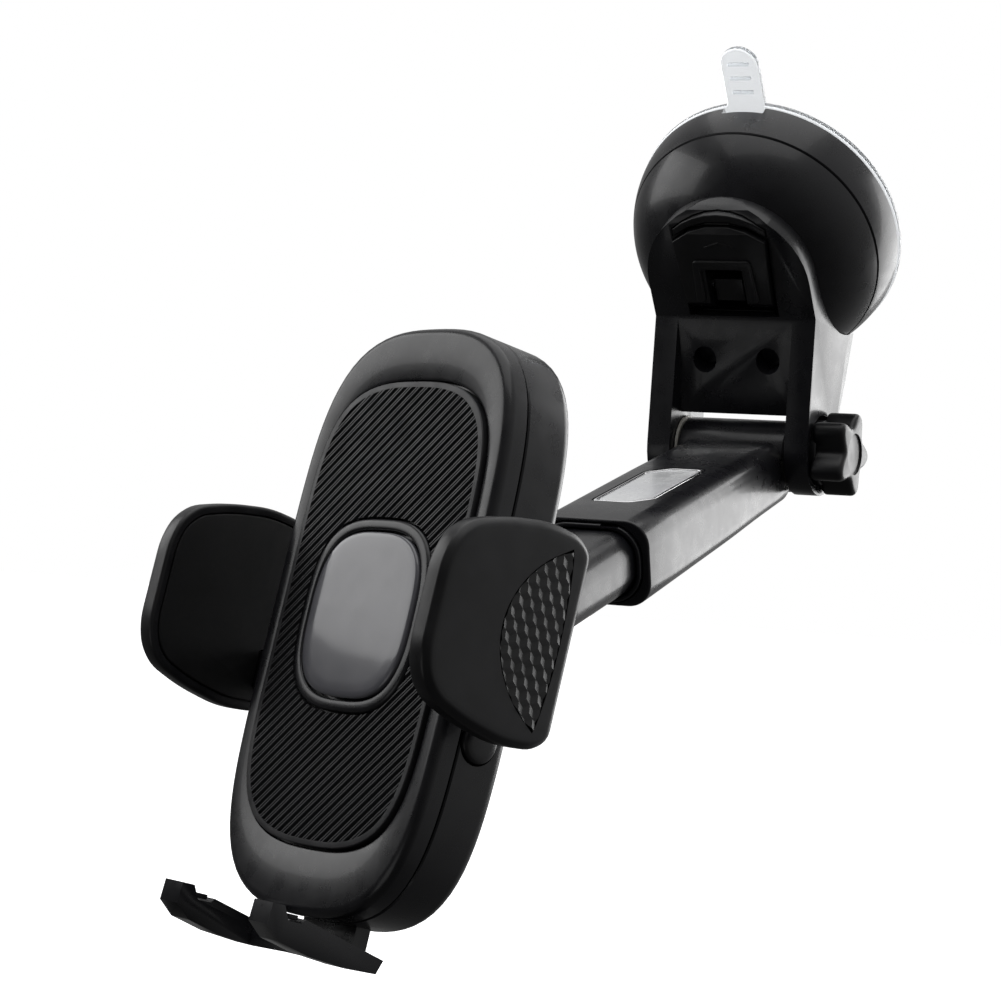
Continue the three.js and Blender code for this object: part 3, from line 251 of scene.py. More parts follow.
def superellipse(width, height, power, steps=120, lift=0.0):
    points = []
    for a in angles(steps):
        c, s = math.cos(a), math.sin(a)
        x = math.copysign(abs(c) ** (2 / power[0]), c) * width / 2
        y = math.copysign(abs(s) ** (2 / power[1]), s) * height / 2
        points.append((x, y + lift))
    return even(points, steps)


def even(points, steps):
    """The closed outline again, in steps of equal length."""
    count = len(points)
    fine = [Vector(p) for p in points] + [Vector(points[0])]
    lengths = [0.0]
    for i in range(count):
        lengths.append(lengths[-1] + (fine[i + 1] - fine[i]).length)
    out = []
    k = 0
    for i in range(steps):
        goal = lengths[-1] * i / steps
        while lengths[k + 1] < goal:
            k += 1
        t = (goal - lengths[k]) / max(1e-9, lengths[k + 1] - lengths[k])
        point = fine[k].lerp(fine[k + 1], t)
        out.append((point.x, point.y))
    return out


def rounded_rect(width, height, corner, steps=10, lift=0.0):
    points = []
    for k, (sx, sy) in enumerate([(1, 1), (-1, 1), (-1, -1), (1, -1)]):
        for i in range(steps + 1):
            a = math.radians(90 * k + 90 * i / steps)
            x = sx * (width / 2 - corner) + corner * math.cos(a)
            points.append((x, sy * (height / 2 - corner) + corner * math.sin(a) + lift))
    return points


def edge_arc(radius, steps=4):
    """(inset, depth) pairs of a rounded edge, from the flat face to the side."""
    pairs = []
    for i in range(steps + 1):
        a = math.pi / 2 * i / steps
        pairs.append((radius * (1 - math.sin(a)), radius * (1 - math.cos(a))))
    return pairs


def slab(name, points, low, high, where, axis="z", r_low=0.3, r_high=0.3):
    """An outline extruded along an axis, with both rims rounded."""
    rings = []
    for move, depth in edge_arc(r_low):
        rings.append([to_axis(axis, u, v, low + depth) for u, v in inset(points, move)])
    for move, depth in reversed(edge_arc(r_high)):
        rings.append([to_axis(axis, u, v, high - depth) for u, v in inset(points, move)])
    return loft(name, rings, where)


def band(name, outer, inner, low, high, where, axis="z", r_out=0.3, r_in=0.3, r_back=0.1):
    """A closed ring between two outlines; the rims at low are rounded, those at high less so."""
    rings = []
    for move, depth in edge_arc(r_out):
        rings.append([to_axis(axis, u, v, low + depth) for u, v in inset(outer, move)])
    for move, depth in reversed(edge_arc(r_back)):
        rings.append([to_axis(axis, u, v, high - depth) for u, v in inset(outer, move)])
    for move, depth in edge_arc(r_back):
        rings.append([to_axis(axis, u, v, high - depth) for u, v in inset(inner, -move)])
    for move, depth in reversed(edge_arc(r_in)):
        rings.append([to_axis(axis, u, v, low + depth) for u, v in inset(inner, -move)])
    return loft(name, rings, where, loop=True)


def rod(name, radius, low, high, where, axis="x", centre=(0, 0), edge=0.3, steps=48):
    points = [(centre[0] + radius * math.cos(a), centre[1] + radius * math.sin(a)) for a in angles(steps)]
    return slab(name, points, low, high, where, axis, edge, edge)


def applied(obj, modifier):
    """Bakes the object's only modifier into its mesh."""
    graph = bpy.context.evaluated_depsgraph_get()
    mesh = bpy.data.meshes.new_from_object(obj.evaluated_get(graph))
    obj.modifiers.remove(modifier)
    obj.data = mesh
    return obj


def boolean(target, cutter, operation="DIFFERENCE"):
    modifier = target.modifiers.new("cut", "BOOLEAN")
    modifier.operation = operation
    modifier.solver = "EXACT"
    modifier.object = cutter
    applied(target, modifier)
    bpy.data.objects.remove(cutter)
    return target


def joined(name, *parts):
    """Several meshes as one object."""
    bm = bmesh.new()
    for part in parts:
        bm.from_mesh(part.data)
    mesh = bpy.data.meshes.new(name)
    bm.to_mesh(mesh)
    bm.free()
    for part in parts:
        bpy.data.objects.remove(part)
    obj = bpy.data.objects.new(name, mesh)
    bpy.context.scene.collection.objects.link(obj)
    return obj


def softened(node, width, angle=32.0):
    """A copy of a CAD node with its flat faces merged and its edges rounded."""
    mesh = frame["nodes"][node].data.copy()
    mesh.materials.clear()
    bm = bmesh.new()
    bm.from_mesh(mesh)
    bmesh.ops.remove_doubles(bm, verts=bm.verts, dist=0.02 * MM)
    bmesh.ops.dissolve_limit(bm, angle_limit=math.radians(2), verts=bm.verts, edges=bm.edges)
    bm.to_mesh(mesh)
    bm.free()
    obj = bpy.data.objects.new(node + "_look", mesh)
    bpy.context.scene.collection.objects.link(obj)
    modifier = obj.modifiers.new("edges", "BEVEL")
    modifier.width = width * MM
    modifier.segments = 3
    modifier.limit_method = "ANGLE"
    modifier.angle_limit = math.radians(angle)
    modifier.harden_normals = False
    return applied(obj, modifier)


def smooth(obj, angle=35.0):
    """Smooth shading, kept sharp where faces meet at more than the angle."""
    mesh = obj.data
    mesh.polygons.foreach_set("use_smooth", [True] * len(mesh.polygons))
    bm = bmesh.new()
    bm.from_mesh(mesh)
    for edge in bm.edges:
        edge.smooth = len(edge.link_faces) == 2 and edge.calc_face_angle(0) < math.radians(angle)
    bm.to_mesh(mesh)
    bm.free()
    return obj


def piece(obj, body, slot, look, *nodes, angle=35.0):
    """Gives the piece its finish and its body, and lets it stand for CAD nodes."""
    smooth(obj, angle)
    obj.data.materials.clear()
    obj.data.materials.append(look)
    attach(obj, body)
    if nodes:
        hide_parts(*nodes)
    return obj


# ---------- materials ----------
def socket(node, *names):
    for name in names:
        if name in node.inputs:
            return node.inputs[name]
    raise KeyError(names)


def base_material(name, color, roughness, metallic=0.0, coat=0.0, ior=1.48):
    look = bpy.data.materials.new(name)
    look.use_nodes = True
    shader = look.node_tree.nodes["Principled BSDF"]
    shader.inputs["Base Color"].default_value = (*color, 1)
    shader.inputs["Roughness"].default_value = roughness
    shader.inputs["Metallic"].default_value = metallic
    shader.inputs["IOR"].default_value = ior
    socket(shader, "Coat Weight", "Coat").default_value = coat
    socket(shader, "Coat Roughness").default_value = 0.06
    return look, shader


def noise(tree, scale, detail=3.0, stretch=None):
    coords = tree.nodes.new("ShaderNodeTexCoord")
    texture = tree.nodes.new("ShaderNodeTexNoise")
    texture.inputs["Scale"].default_value = scale
    texture.inputs["Detail"].default_value = detail
    source = coords.outputs["Object"]
    if stretch:
        mapping = tree.nodes.new("ShaderNodeMapping")
        mapping.inputs["Scale"].default_value = stretch
        tree.links.new(source, mapping.inputs["Vector"])
        source = mapping.outputs["Vector"]
    tree.links.new(source, texture.inputs["Vector"])
    return texture.outputs["Fac"]


def vary(tree, value, low, high, target):
    """Drives a socket between two values by a noise."""
    spread = tree.nodes.new("ShaderNodeMapRange")
    spread.inputs["From Min"].default_value = 0.35
    spread.inputs["From Max"].default_value = 0.65
    spread.inputs["To Min"].default_value = low
    spread.inputs["To Max"].default_value = high
    tree.links.new(value, spread.inputs["Value"])
    tree.links.new(spread.outputs["Result"], target)


def tinted(tree, value, dark, light, target):
    ramp = tree.nodes.new("ShaderNodeValToRGB")
    ramp.color_ramp.elements[0].position = 0.35
    ramp.color_ramp.elements[0].color = (*dark, 1)
    ramp.color_ramp.elements[1].position = 0.65
    ramp.color_ramp.elements[1].color = (*light, 1)
    tree.links.new(value, ramp.inputs["Fac"])
    tree.links.new(ramp.outputs["Color"], target)


def bump(tree, shader, value, depth, strength=0.5):
    relief = tree.nodes.new("ShaderNodeBump")
    relief.inputs["Distance"].default_value = depth * MM
    relief.inputs["Strength"].default_value = strength
    tree.links.new(value, relief.inputs["Height"])
    tree.links.new(relief.outputs["Normal"], shader.inputs["Normal"])


def plastic(name, dark, light, rough, grain, coat=0.0):
    """Moulded plastic: faint mottling, uneven polish and a fine grain."""
    look, shader = base_material(name, dark, rough[0], coat=coat)
    tree = look.node_tree
    tinted(tree, noise(tree, 60), dark, light, shader.inputs["Base Color"])
    vary(tree, noise(tree, 240, 6), rough[0], rough[1], shader.inputs["Roughness"])
    bump(tree, shader, noise(tree, grain[0], 2), grain[1])
    return look


def gloss_black():
    dark, light = (0.008, 0.008, 0.010), (0.014, 0.014, 0.017)
    return plastic("gloss black", dark, light, (0.25, 0.33), (1500, 0.006), 0.15)


def satin_black():
    return plastic("satin black", (0.007, 0.007, 0.008), (0.013, 0.013, 0.015), (0.3, 0.4), (2600, 0.012))


def pad_rubber():
    return plastic("pad rubber", (0.018, 0.018, 0.020), (0.030, 0.030, 0.033), (0.38, 0.5), (3200, 0.015))


# Painted shade: a copy of one rubber whose base colour is made darker or lighter to stand in for how light falls
# on one side of the grip's cubes.
def grip_rubber_painted_shade(name, shade_level):
    dark, light = (shade_level * 0.85,) * 3, (shade_level * 1.15, shade_level * 1.15, shade_level * 1.2)
    return plastic("grip rubber painted shade " + name, dark, light, (0.4, 0.52), (3000, 0.012))


def soft_rubber():
    return plastic("soft rubber", (0.003, 0.003, 0.0035), (0.006, 0.006, 0.007), (0.55, 0.68), (3000, 0.02))


def panel_grey():
    return plastic("panel grey", (0.12, 0.12, 0.135), (0.14, 0.14, 0.156), (0.16, 0.24), (900, 0.004), 0.8)


def nylon():
    return plastic("nylon", (0.62, 0.6, 0.54), (0.7, 0.68, 0.62), (0.45, 0.55), (2000, 0.02))


def clear_gel():
    look, shader = base_material("clear gel", (0.93, 0.95, 0.97), 0.12, ior=1.42)
    socket(shader, "Transmission Weight", "Transmission").default_value = 0.86
    tree = look.node_tree
    vary(tree, noise(tree, 180, 4), 0.08, 0.2, shader.inputs["Roughness"])
    bump(tree, shader, noise(tree, 700, 3), 0.02)
    return look


def metal(name, color, rough, stretch, scratch=0.012):
    """Turned or brushed metal, its marks drawn out along one direction."""
    look, shader = base_material(name, color, rough[0], metallic=1.0)
    tree = look.node_tree
    marks = noise(tree, 900, 4, stretch)
    vary(tree, marks, rough[0], rough[1], shader.inputs["Roughness"])
    bump(tree, shader, marks, scratch, 0.4)
    return look


def steel():
    return metal("steel", (0.62, 0.63, 0.65), (0.22, 0.36), (0.15, 1, 1))


def black_steel():
    return metal("black steel", (0.045, 0.045, 0.05), (0.3, 0.42), (0.15, 1, 1))


def silver_plate():
    return plastic("silver plate", (0.84, 0.85, 0.87), (0.92, 0.93, 0.94), (0.2, 0.3), (1500, 0.004), 0.4)


def bright_rim():
    return metal("bright rim", (0.93, 0.93, 0.94), (0.08, 0.14), (1, 1, 1), 0.003)


GLOSS = gloss_black()
SATIN = satin_black()
PAD_RUBBER = pad_rubber()
RUBBER = soft_rubber()
PANEL = panel_grey()
NYLON = nylon()
GEL = clear_gel()
# Painted shade: dark, middle and light copies of the grip's rubber, one for each facing of the cube sides.
GRIP_PAINTED_SHADES = [grip_rubber_painted_shade("dark", 0.008), grip_rubber_painted_shade("middle", 0.02), grip_rubber_painted_shade("light", 0.05)]
STEEL = steel()
BLACK_STEEL = black_steel()
SILVER = silver_plate()
BRIGHT = bright_rim()


# ---------- suction base ----------
def dome_radius(z):
    return DOME_R * (1 - (z / DOME_H) ** DOME_POWER) ** (1 / DOME_POWER)


def dome_height(r):
    return DOME_H * (1 - (r / DOME_R) ** DOME_POWER) ** (1 / DOME_POWER)


def dome_curve(low, high, inset_by=0.0, steps=24):
    heights = [low + (high - low) * i / steps for i in range(steps + 1)]
    return [(dome_radius(z) - inset_by, z) for z in heights]


def gel_outline():
    half = TAB_W / 2
    start = math.acos(half / PAD_R)
    points = []
    steps = 150
    for i in range(steps + 1):
        a = math.pi - start + (math.pi + 2 * start) * i / steps
        points.append((PAD_R * math.cos(a), PAD_R * math.sin(a)))
    shoulder = PAD_R + TAB_LENGTH - half
    for i in range(17):
        a = math.pi * i / 16
        points.append((half * math.cos(a), shoulder + half * math.sin(a)))
    return points


def gel_pad():
    pad = slab("gel_pad_look", gel_outline(), 0, PAD_T, BASE, r_low=0.35, r_high=0.5)
    ribs = []
    for i in range(TAB_RIB["count"]):
        y = PAD_R + TAB_RIB["first"] + TAB_RIB["pitch"] * i
        line = rounded_rect(TAB_RIB["w"], TAB_RIB["t"], 0.35, 4, y + 0.4)
        ribs.append(slab("tab_rib", line, PAD_T - 0.3, PAD_T + 0.4, BASE, r_low=0.05, r_high=0.2))
    piece(joined("gel_pad_look", pad, *ribs), "base", "clear_gel", GEL, "gel_pad")


def dome_rim():
    low, top = PAD_T + GAP, SEAM_Z - GAP
    outer = dome_curve(low + 0.4, top - 0.15)
    profile = [(outer[0][0] - 0.4, low), *outer, (outer[-1][0] - 0.25, top)]
    profile += [(dome_radius(top) - DOME_WALL, top), (dome_radius(low) - DOME_WALL, low)]
    rim = lathe("dome_rim_look", profile, BASE, 160)
    notch = slab("notch", rounded_rect(TAB_W + 0.8, 8, 1, 4, DOME_R - 1), 0, low + 2.4, BASE)
    piece(boolean(rim, notch), "base", "gloss_black", GLOSS, "dome_rim")


def base_dome():
    shoulder = dome_height(SHOULDER_R)
    inner = shoulder - DOME_WALL - 1.6
    profile = [(dome_radius(SEAM_Z) - 0.3, SEAM_Z), *dome_curve(SEAM_Z + 0.2, shoulder - 0.2)]
    profile += [(SHOULDER_R - 0.5, shoulder), (WELL_R + 0.4, shoulder), (WELL_R, shoulder - 0.4)]
    profile += [(WELL_R, WELL_FLOOR), (0, WELL_FLOOR), (0, WELL_FLOOR - DECK_T)]
    profile += [(WELL_R + DOME_WALL, WELL_FLOOR - DECK_T), (WELL_R + DOME_WALL, inner)]
    profile += [(dome_radius(inner) - DOME_WALL, inner), (dome_radius(SEAM_Z) - DOME_WALL, SEAM_Z)]
    dome = lathe("base_dome_look", profile, BASE, 160)
    w, d, y = STEM
    hole = slab("hole", rounded_rect(w + 0.8, d + 0.8, 0.6, 4, y), 10, 20, BASE)
    piece(boolean(dome, hole), "base", "gloss_black", GLOSS, "base_dome")


def lock_lever():
    lever = softened("lock_lever", 0.55, 25)
    piece(lever, "lever", "satin_black", SATIN, "lock_lever")
    marks = []
    for side in (-1, 1):
        line = [(0, 11.9), (side * 3.4, 10.7), (side * 3.4, 10.2), (0, 11.4)]
        marks.append(slab("chevron", line, LEVER_FACE, LEVER_FACE + 0.2, BASE, r_low=0.02, r_high=0.1))
    piece(joined("lever_chevron", *marks), "lever", "satin_black", SATIN)
    lever_arch()


def lever_arch():
    """A raised arch round the lever's slot."""
    half, foot, crown, wall = ARCH["half"], ARCH["foot"], ARCH["crown"], ARCH["wall"]
    line = [(-half, foot), (-half + wall, foot), (-half + wall, crown - wall), (half - wall, crown - wall)]
    line += [(half - wall, foot), (half, foot), (half - 0.6, crown), (0.6 - half, crown)]
    high = LEVER_FACE + ARCH["proud"]
    relief = slab("lever_arch", round_corners(line, 1.2), LEVER_FACE, high, BASE, r_low=0.02, r_high=0.35)
    piece(relief, "lever", "satin_black", SATIN)


def suction_base():
    gel_pad()
    dome_rim()
    base_dome()
    lock_lever()
    piece(softened("lock_band", 0.25), "base", "satin_black", SATIN, "lock_band")
    piece(softened("fork_bracket", 0.45), "base", "gloss_black", GLOSS, "fork_bracket")
    piece(softened("cup_stem", 0.4), "stem", "satin_black", SATIN, "cup_stem")
    lever_pin = rod("lever_pin_look", PIN_R, -PIN_HALF, PIN_HALF, BASE, "x", PIN_PLACE, 0.3)
    piece(lever_pin, "stem", "steel", STEEL, "lever_pin")


# ---------- clamp ----------
def clamp_knob():
    steps = 160
    outline = []
    for a in angles(steps):
        radius = KNOB["r"] + KNOB["wave"] * math.cos(KNOB["lobes"] * a)
        outline.append((radius * math.cos(a), radius * math.sin(a)))
    low, high = EYE_FACE + GAP, EYE_FACE + KNOB["length"]
    grip = slab("clamp_knob_look", outline, low + 2.4, high, PIVOT, "x", 0.8, 1.3)
    collar = rod("collar", KNOB["collar_r"], low, low + KNOB["collar_t"], PIVOT, "x", edge=0.4)
    dish = rod("dish", KNOB["dish_r"], high - 0.5, high + 1, PIVOT, "x", edge=0.2)
    knob = boolean(boolean(grip, collar, "UNION"), dish)
    piece(knob, "knob", "satin_black", SATIN, "clamp_knob")


def pivot_bolt():
    shank = rod("shank", BOLT_R, -EYE_FACE - 1, EYE_FACE + BOLT_TAIL, PIVOT, "x")
    hexagon = [(BOLT_HEAD_R * math.cos(a), BOLT_HEAD_R * math.sin(a)) for a in angles(6, math.pi / 6)]
    hexagon = round_corners(hexagon, 0.5, 3)
    low = -EYE_FACE - BOLT_HEAD_T
    head = slab("pivot_bolt_look", hexagon, low, -EYE_FACE - GAP, PIVOT, "x", 0.5, 0.1)
    bolt = boolean(head, shank, "UNION")
    piece(bolt, "base", "black_steel", BLACK_STEEL, "pivot_bolt")


# ---------- arm ----------
def arm_height(z):
    return ARM_ROOT_H + (ARM_H - ARM_ROOT_H) * (z - ARM_ROOT) / (ARM_MOUTH - ARM_ROOT)


def arm_ring(z, shrink=0.0):
    t = min(1.0, max(0.0, (z - 15) / 25))
    narrow = 2 * HUB_HALF / ARM_W + (1 - 2 * HUB_HALF / ARM_W) * t * t * (3 - 2 * t)
    width, height = ARM_W * narrow - 2 * shrink, arm_height(z) - 2 * shrink
    corner = ARM_CORNER * arm_height(z) / ARM_H - shrink
    return [(x, y, z) for x, y in rounded_rect(width, height, corner, 10, -ARM_DROP)]


def tube_outline(grow):
    return rounded_rect(TUBE_W + 2 * grow, TUBE_H + 2 * grow, TUBE_CORNER + grow, 10, -ARM_DROP)


def badge_outline(grow):
    w, l, c = BADGE_W / 2 + grow, BADGE_LENGTH / 2 + grow, 4.0
    corners = [(-w, -l), (w - c, -l), (w, -l + c), (w, l), (-w + c, l), (-w, l - c)]
    return round_corners(corners, 1.3, 5)


def badge_frame():
    """Lies on the arm's top face, x across and y along the arm."""
    rise = math.atan((ARM_H - ARM_ROOT_H) / 2 / (ARM_MOUTH - ARM_ROOT))
    middle = BADGE_FROM + BADGE_LENGTH / 2
    face = arm_height(middle) / 2 - ARM_DROP
    turn = Matrix.Rotation(-rise, 4, "X") @ Matrix.Rotation(math.pi, 4, "Y")
    turn = turn @ Matrix.Rotation(-math.pi / 2, 4, "X")
    return ARM @ Matrix.Translation((0, face, middle)) @ turn


def outer_arm():
    rings = []
    for move, depth in edge_arc(1.2):
        rings.append(arm_ring(ARM_ROOT + depth, move))
    for z in (10, 15, 18, 21, 24, 27, 30, 33, 36, 40, 55, 70):
        rings.append(arm_ring(z))
    for move, depth in reversed(edge_arc(0.5)):
        rings.append(arm_ring(ARM_MOUTH - depth, move))
    seat = COLLAR_T + GAP
    step = ARM_MOUTH - COLLAR_LENGTH
    for z, grow in ((ARM_MOUTH, seat), (step, seat), (step, RUN), (BORE_END, RUN)):
        rings.append([(x, y, z) for x, y in tube_outline(grow)])
    arm = loft("outer_arm_look", rings, ARM)
    hub = rod("hub", HUB_R, -HUB_HALF, HUB_HALF, ARM, "x", (-HUB_DROP, 0), 0.5, 96)
    arm = boolean(arm, hub, "UNION")
    arm = boolean(arm, rod("bore", BOLT_R + 0.3, -20, 20, ARM, "x", edge=0.05))
    recess = slab("recess", badge_outline(GAP), -BADGE_T - GAP, 2, badge_frame(), r_low=0.1, r_high=0.1)
    piece(boolean(arm, recess), "outer_arm", "gloss_black", GLOSS, "outer_arm")


def arm_badge():
    place = badge_frame()
    down = place @ Matrix.Scale(-1, 4, (0, 0, 1))
    rim = band("badge_rim", badge_outline(0), badge_outline(-0.6), 0, BADGE_T, down, r_out=0.2, r_in=0.2)
    piece(rim, "outer_arm", "silver", BRIGHT)
    plate = slab("arm_badge_look", badge_outline(-0.95), -BADGE_T, -0.12, place, r_low=0.05, r_high=0.1)
    piece(plate, "outer_arm", "silver", SILVER, "arm_badge")


def arm_collar():
    low, high = ARM_MOUTH - COLLAR_LENGTH + GAP, ARM_MOUTH + 0.8
    upside = ARM @ Matrix.Translation((0, 0, high)) @ Matrix.Scale(-1, 4, (0, 0, 1))
    outer, inner = tube_outline(COLLAR_T), tube_outline(RUN)
    ring = band("arm_collar_look", outer, inner, 0, high - low, upside, r_out=0.35, r_in=0.25)
    beside = ARM @ Matrix.Translation((5, TUBE_H / 2 - ARM_DROP + 2.3, 0))
    key = slab("key", rounded_rect(4, 3, 0.3, 3), high - 2.4, high + 1, beside)
    piece(boolean(ring, key), "outer_arm", "gloss_black", GLOSS, "arm_collar")


def inner_tube():
    stations = [(TUBE_END - 5, -3.4), (TUBE_END, -3.4), (TUBE_END, -1.2), (TUBE_END - 0.3, -0.5)]
    stations += [(TUBE_END - 0.8, -0.12), (TUBE_END - 1.5, 0), (TUBE_START, 0), (TUBE_START, -2)]
    stations += [(TUBE_END - 5, -2)]
    rings = [[(x, y, z) for x, y in tube_outline(grow)] for z, grow in stations]
    tube = loft("inner_tube_look", rings, ARM, loop=True)
    piece(tube, "inner_arm", "gloss_black", GLOSS, "inner_tube")


def ball_stud():
    steps = 28
    neck_z = BALL_REACH - math.sqrt(BALL_R**2 - NECK_R**2)
    start = math.asin(NECK_R / BALL_R)
    profile = [(0, TUBE_END - 4), (5.2, TUBE_END - 4), (5.2, TUBE_END + GAP), (6.2, TUBE_END + GAP)]
    profile += [(6.4, TUBE_END + 0.5), (6.4, TUBE_END + 1.4), (6.1, TUBE_END + 1.8)]
    profile += [(NECK_R + 0.5, TUBE_END + 4.4), (NECK_R, TUBE_END + 5.2), (NECK_R, neck_z)]
    for i in range(1, steps + 1):
        a = start + (math.pi - start) * i / steps
        profile.append((BALL_R * math.sin(a), BALL_REACH - BALL_R * math.cos(a)))
    stud = lathe("ball_stud_look", profile, ARM, 64, (0, -ARM_DROP))
    piece(stud, "inner_arm", "satin_black", SATIN, "ball_stud")


# ---------- cradle ----------
def body_outline(inset_by=0.0):
    return superellipse(BODY_W - 2 * inset_by, BODY_H - 2 * inset_by, BODY_POWER)


def rib_outline(grow=0.0):
    return superellipse(RIB_W + 2 * grow, RIB_H + 2 * grow, RIB_POWER, lift=RIB_UP)


def round_outline(grow=0.0):
    return superellipse(RING_W + 2 * grow, RING_H + 2 * grow, (3, 3))


def flat_ring(points, y):
    return [(u, y, v) for u, v in points]


def bar_box(grow, level):
    near, far = BAR_NEAR - grow, BAR_NEAR + BAR_W + grow
    low, high = (near, far) if level > 0 else (-far, -near)
    outline = rounded_rect(BAR_T + 2 * grow, BAR_W + 2 * grow, 0.5, 4, (low + high) / 2)
    outline = [(u + BAR_BACK - BAR_T / 2, v) for u, v in outline]
    return slab("bar_slot", outline, -BODY_W, BODY_W, CRADLE, "x", 0.05, 0.05)


def rear_shell():
    front = PARTING + GAP
    rings = [flat_ring(body_outline(0.25), front), flat_ring(body_outline(), front + 0.25)]
    for move, depth in reversed(edge_arc(2.6, 8)):
        rings.append(flat_ring(body_outline(move), BODY_BACK - depth))
    rings.append(flat_ring(body_outline(3.2), BODY_BACK))
    floor = flat_ring(body_outline(3.6), BODY_BACK - 2.2)
    wall = flat_ring(body_outline(BODY_WALL), BODY_BACK - 3.8)
    mouth = flat_ring(body_outline(BODY_WALL), front)
    shell = loft("rear_shell_look", [floor, wall, mouth, *rings], CRADLE)
    for level in (-1, 1):
        shell = boolean(shell, bar_box(RUN, level))
    reach = BUTTON["r"] + RUN
    for low, high in ((-BODY_W, -BODY_W / 4), (BODY_W / 4, BODY_W)):
        hole = rod("button_hole", reach, low, high, CRADLE, "x", (BUTTON["y"], BUTTON["z"]), 0.05)
        shell = boolean(shell, hole)
    for x, z in CASE_SCREWS:
        low = BODY_BACK - SCREW_SEAT_DEPTH
        hole = rod("screw_hole", SCREW_SEAT_R, low, BODY_BACK + 1, CRADLE, "y", (x, z), 0.05)
        shell = boolean(shell, hole)
    slot = [(-8.4, -60), (8.4, -60), (8.4, -46), (-8.4, -46)]
    stem = slab("stem_slot", slot, 10, 14, CRADLE, "y", 0.05, 0.05)
    piece(boolean(shell, stem), "cradle", "gloss_black", GLOSS, "rear_shell")


def socket_boss():
    low = BODY_BACK - 1
    cavity = BALL_R + CAVITY_CLEAR
    profile = [(0, low), (SOCKET_R + 1.6, low), (SOCKET_R + 0.6, low + 1.1), (SOCKET_R, low + 2.2)]
    profile += [(SOCKET_R, BALL_BACK + 0.1), (SOCKET_R - 0.2, BALL_BACK + 0.3), (cavity, BALL_BACK + 0.3)]
    for i in range(1, 13):
        a = math.radians(90 + 90 * i / 12)
        profile.append((cavity * math.sin(a), BALL_BACK + cavity * math.cos(a)))
    boss = lathe("socket_boss", profile, CRADLE, 96, (0, BALL_UP), "y")
    piece(boss, "cradle", "gloss_black", GLOSS)


def front_frame():
    rings = []
    for move, depth in reversed(edge_arc(1.8, 8)):
        rings.append(flat_ring(body_outline(move), FRAME_FRONT + depth))
    rings.insert(0, flat_ring(body_outline(), PARTING - 0.25))
    rings.insert(0, flat_ring(body_outline(0.25), PARTING))
    rings.append(flat_ring(rib_outline(0.9), FRAME_FRONT))
    rings.append(flat_ring(rib_outline(0.5), FRAME_FRONT + 0.2))
    rings.append(flat_ring(rib_outline(GAP), FRAME_FRONT + 0.6))
    rings.append(flat_ring(rib_outline(GAP), RIB_SEAT + GAP))
    window = superellipse(WINDOW_W, WINDOW_W, (3, 3))
    rings.append(flat_ring(window, RIB_SEAT + GAP))
    rings.append(flat_ring(window, WINDOW_BACK))
    rings.append(flat_ring(body_outline(BODY_WALL), WINDOW_BACK))
    rings.append(flat_ring(body_outline(BODY_WALL), PARTING))
    frame_look = loft("front_frame_look", rings, CRADLE, loop=True)
    piece(frame_look, "cradle", "gloss_black", GLOSS, "front_frame")


def groove(across, width, depth):
    """One V-shaped groove across the pad, at a distance from its middle."""
    tilt = math.radians(RIB_ANGLE)
    along = Vector((math.cos(tilt), 0, math.sin(tilt)))
    side = Vector((-math.sin(tilt), 0, math.cos(tilt)))
    reach = 60
    lip, floor = RIB_FRONT - 0.2, RIB_FRONT + depth
    section = [(-width / 2, lip), (width / 2, lip), (width / 6, floor), (-width / 6, floor)]
    rings = []
    for end in (-reach, reach):
        ring = []
        for u, y in section:
            point = along * end + side * (across + u)
            ring.append((point.x, y, point.z + RIB_UP))
        rings.append(ring)
    return loft("groove", rings, CRADLE)


def ribbed_pad():
    """Ridges running up to the right, each with a fine line on its crest, inside a plain rim."""
    pad = slab("ribbed_pad_look", rib_outline(), RIB_FRONT, RIB_SEAT, CRADLE, "y", 0.25, 0.1)
    grooves = []
    for i in range(-RIB_COUNT // 2, RIB_COUNT // 2 + 1):
        grooves.append(groove(i * RIB_PITCH, *RIDGE_GROOVE))
        grooves.append(groove((i + 0.5) * RIB_PITCH, *CREST_GROOVE))
    cutter = joined("grooves", *grooves)
    low, high = RIB_FRONT - 0.5, RIB_SEAT - 0.6
    inside = slab("inside", rib_outline(-RIB_RIM), low, high, CRADLE, "y", 0.05, 0.05)
    pad = boolean(pad, boolean(cutter, inside, "INTERSECT"))
    pad = boolean(pad, slab("hole", round_outline(GAP), 0, 6, CRADLE, "y"))
    piece(pad, "cradle", "rubber", PAD_RUBBER, "ribbed_pad", angle=25)


def centre_ring():
    outer, inner = round_outline(), round_outline(-RING_WALL)
    ring = band("centre_ring_look", outer, inner, RING_FRONT, RIB_SEAT, CRADLE, "y", 0.9, 0.5)
    piece(ring, "cradle", "gloss_black", GLOSS, "centre_ring")


def centre_panel():
    edge = round_outline(-RING_WALL - RUN)
    rings = [flat_ring(inset(edge, 0.3), PANEL_FRONT + 1.3), flat_ring(edge, PANEL_FRONT + 1.1)]
    for move, y in PANEL_CROWN:
        rings.append(flat_ring(round_outline(-RING_WALL - RUN - move), y))
    cap = loft("centre_panel_look", rings, CRADLE)
    outer, inner = circle_at(PANEL_POST_R), circle_at(PANEL_POST_BORE)
    post = band("post", outer, inner, PANEL_FRONT + 1.2, PANEL_FRONT + 4.6, CRADLE, "y", 0.05, 0.05)
    piece(boolean(cap, post, "UNION"), "panel", "grey_gloss", PANEL, "centre_panel")


def circle_at(radius, steps=64):
    return [(radius * math.cos(a), radius * math.sin(a)) for a in angles(steps)]


def jaw_outline(inset_by=0.0):
    corners = JAW_SHAPE + [(y, -z) for y, z in reversed(JAW_SHAPE)]
    smooth_line = round_corners(corners, 6, 6)
    return inset(even(smooth_line, 120), inset_by) if inset_by else even(smooth_line, 120)


def shrunk(points, share):
    """The outline drawn in towards its middle."""
    u = sum(point[0] for point in points) / len(points)
    v = sum(point[1] for point in points) / len(points)
    return [(u + (a - u) * share, v + (b - v) * share) for a, b in points]


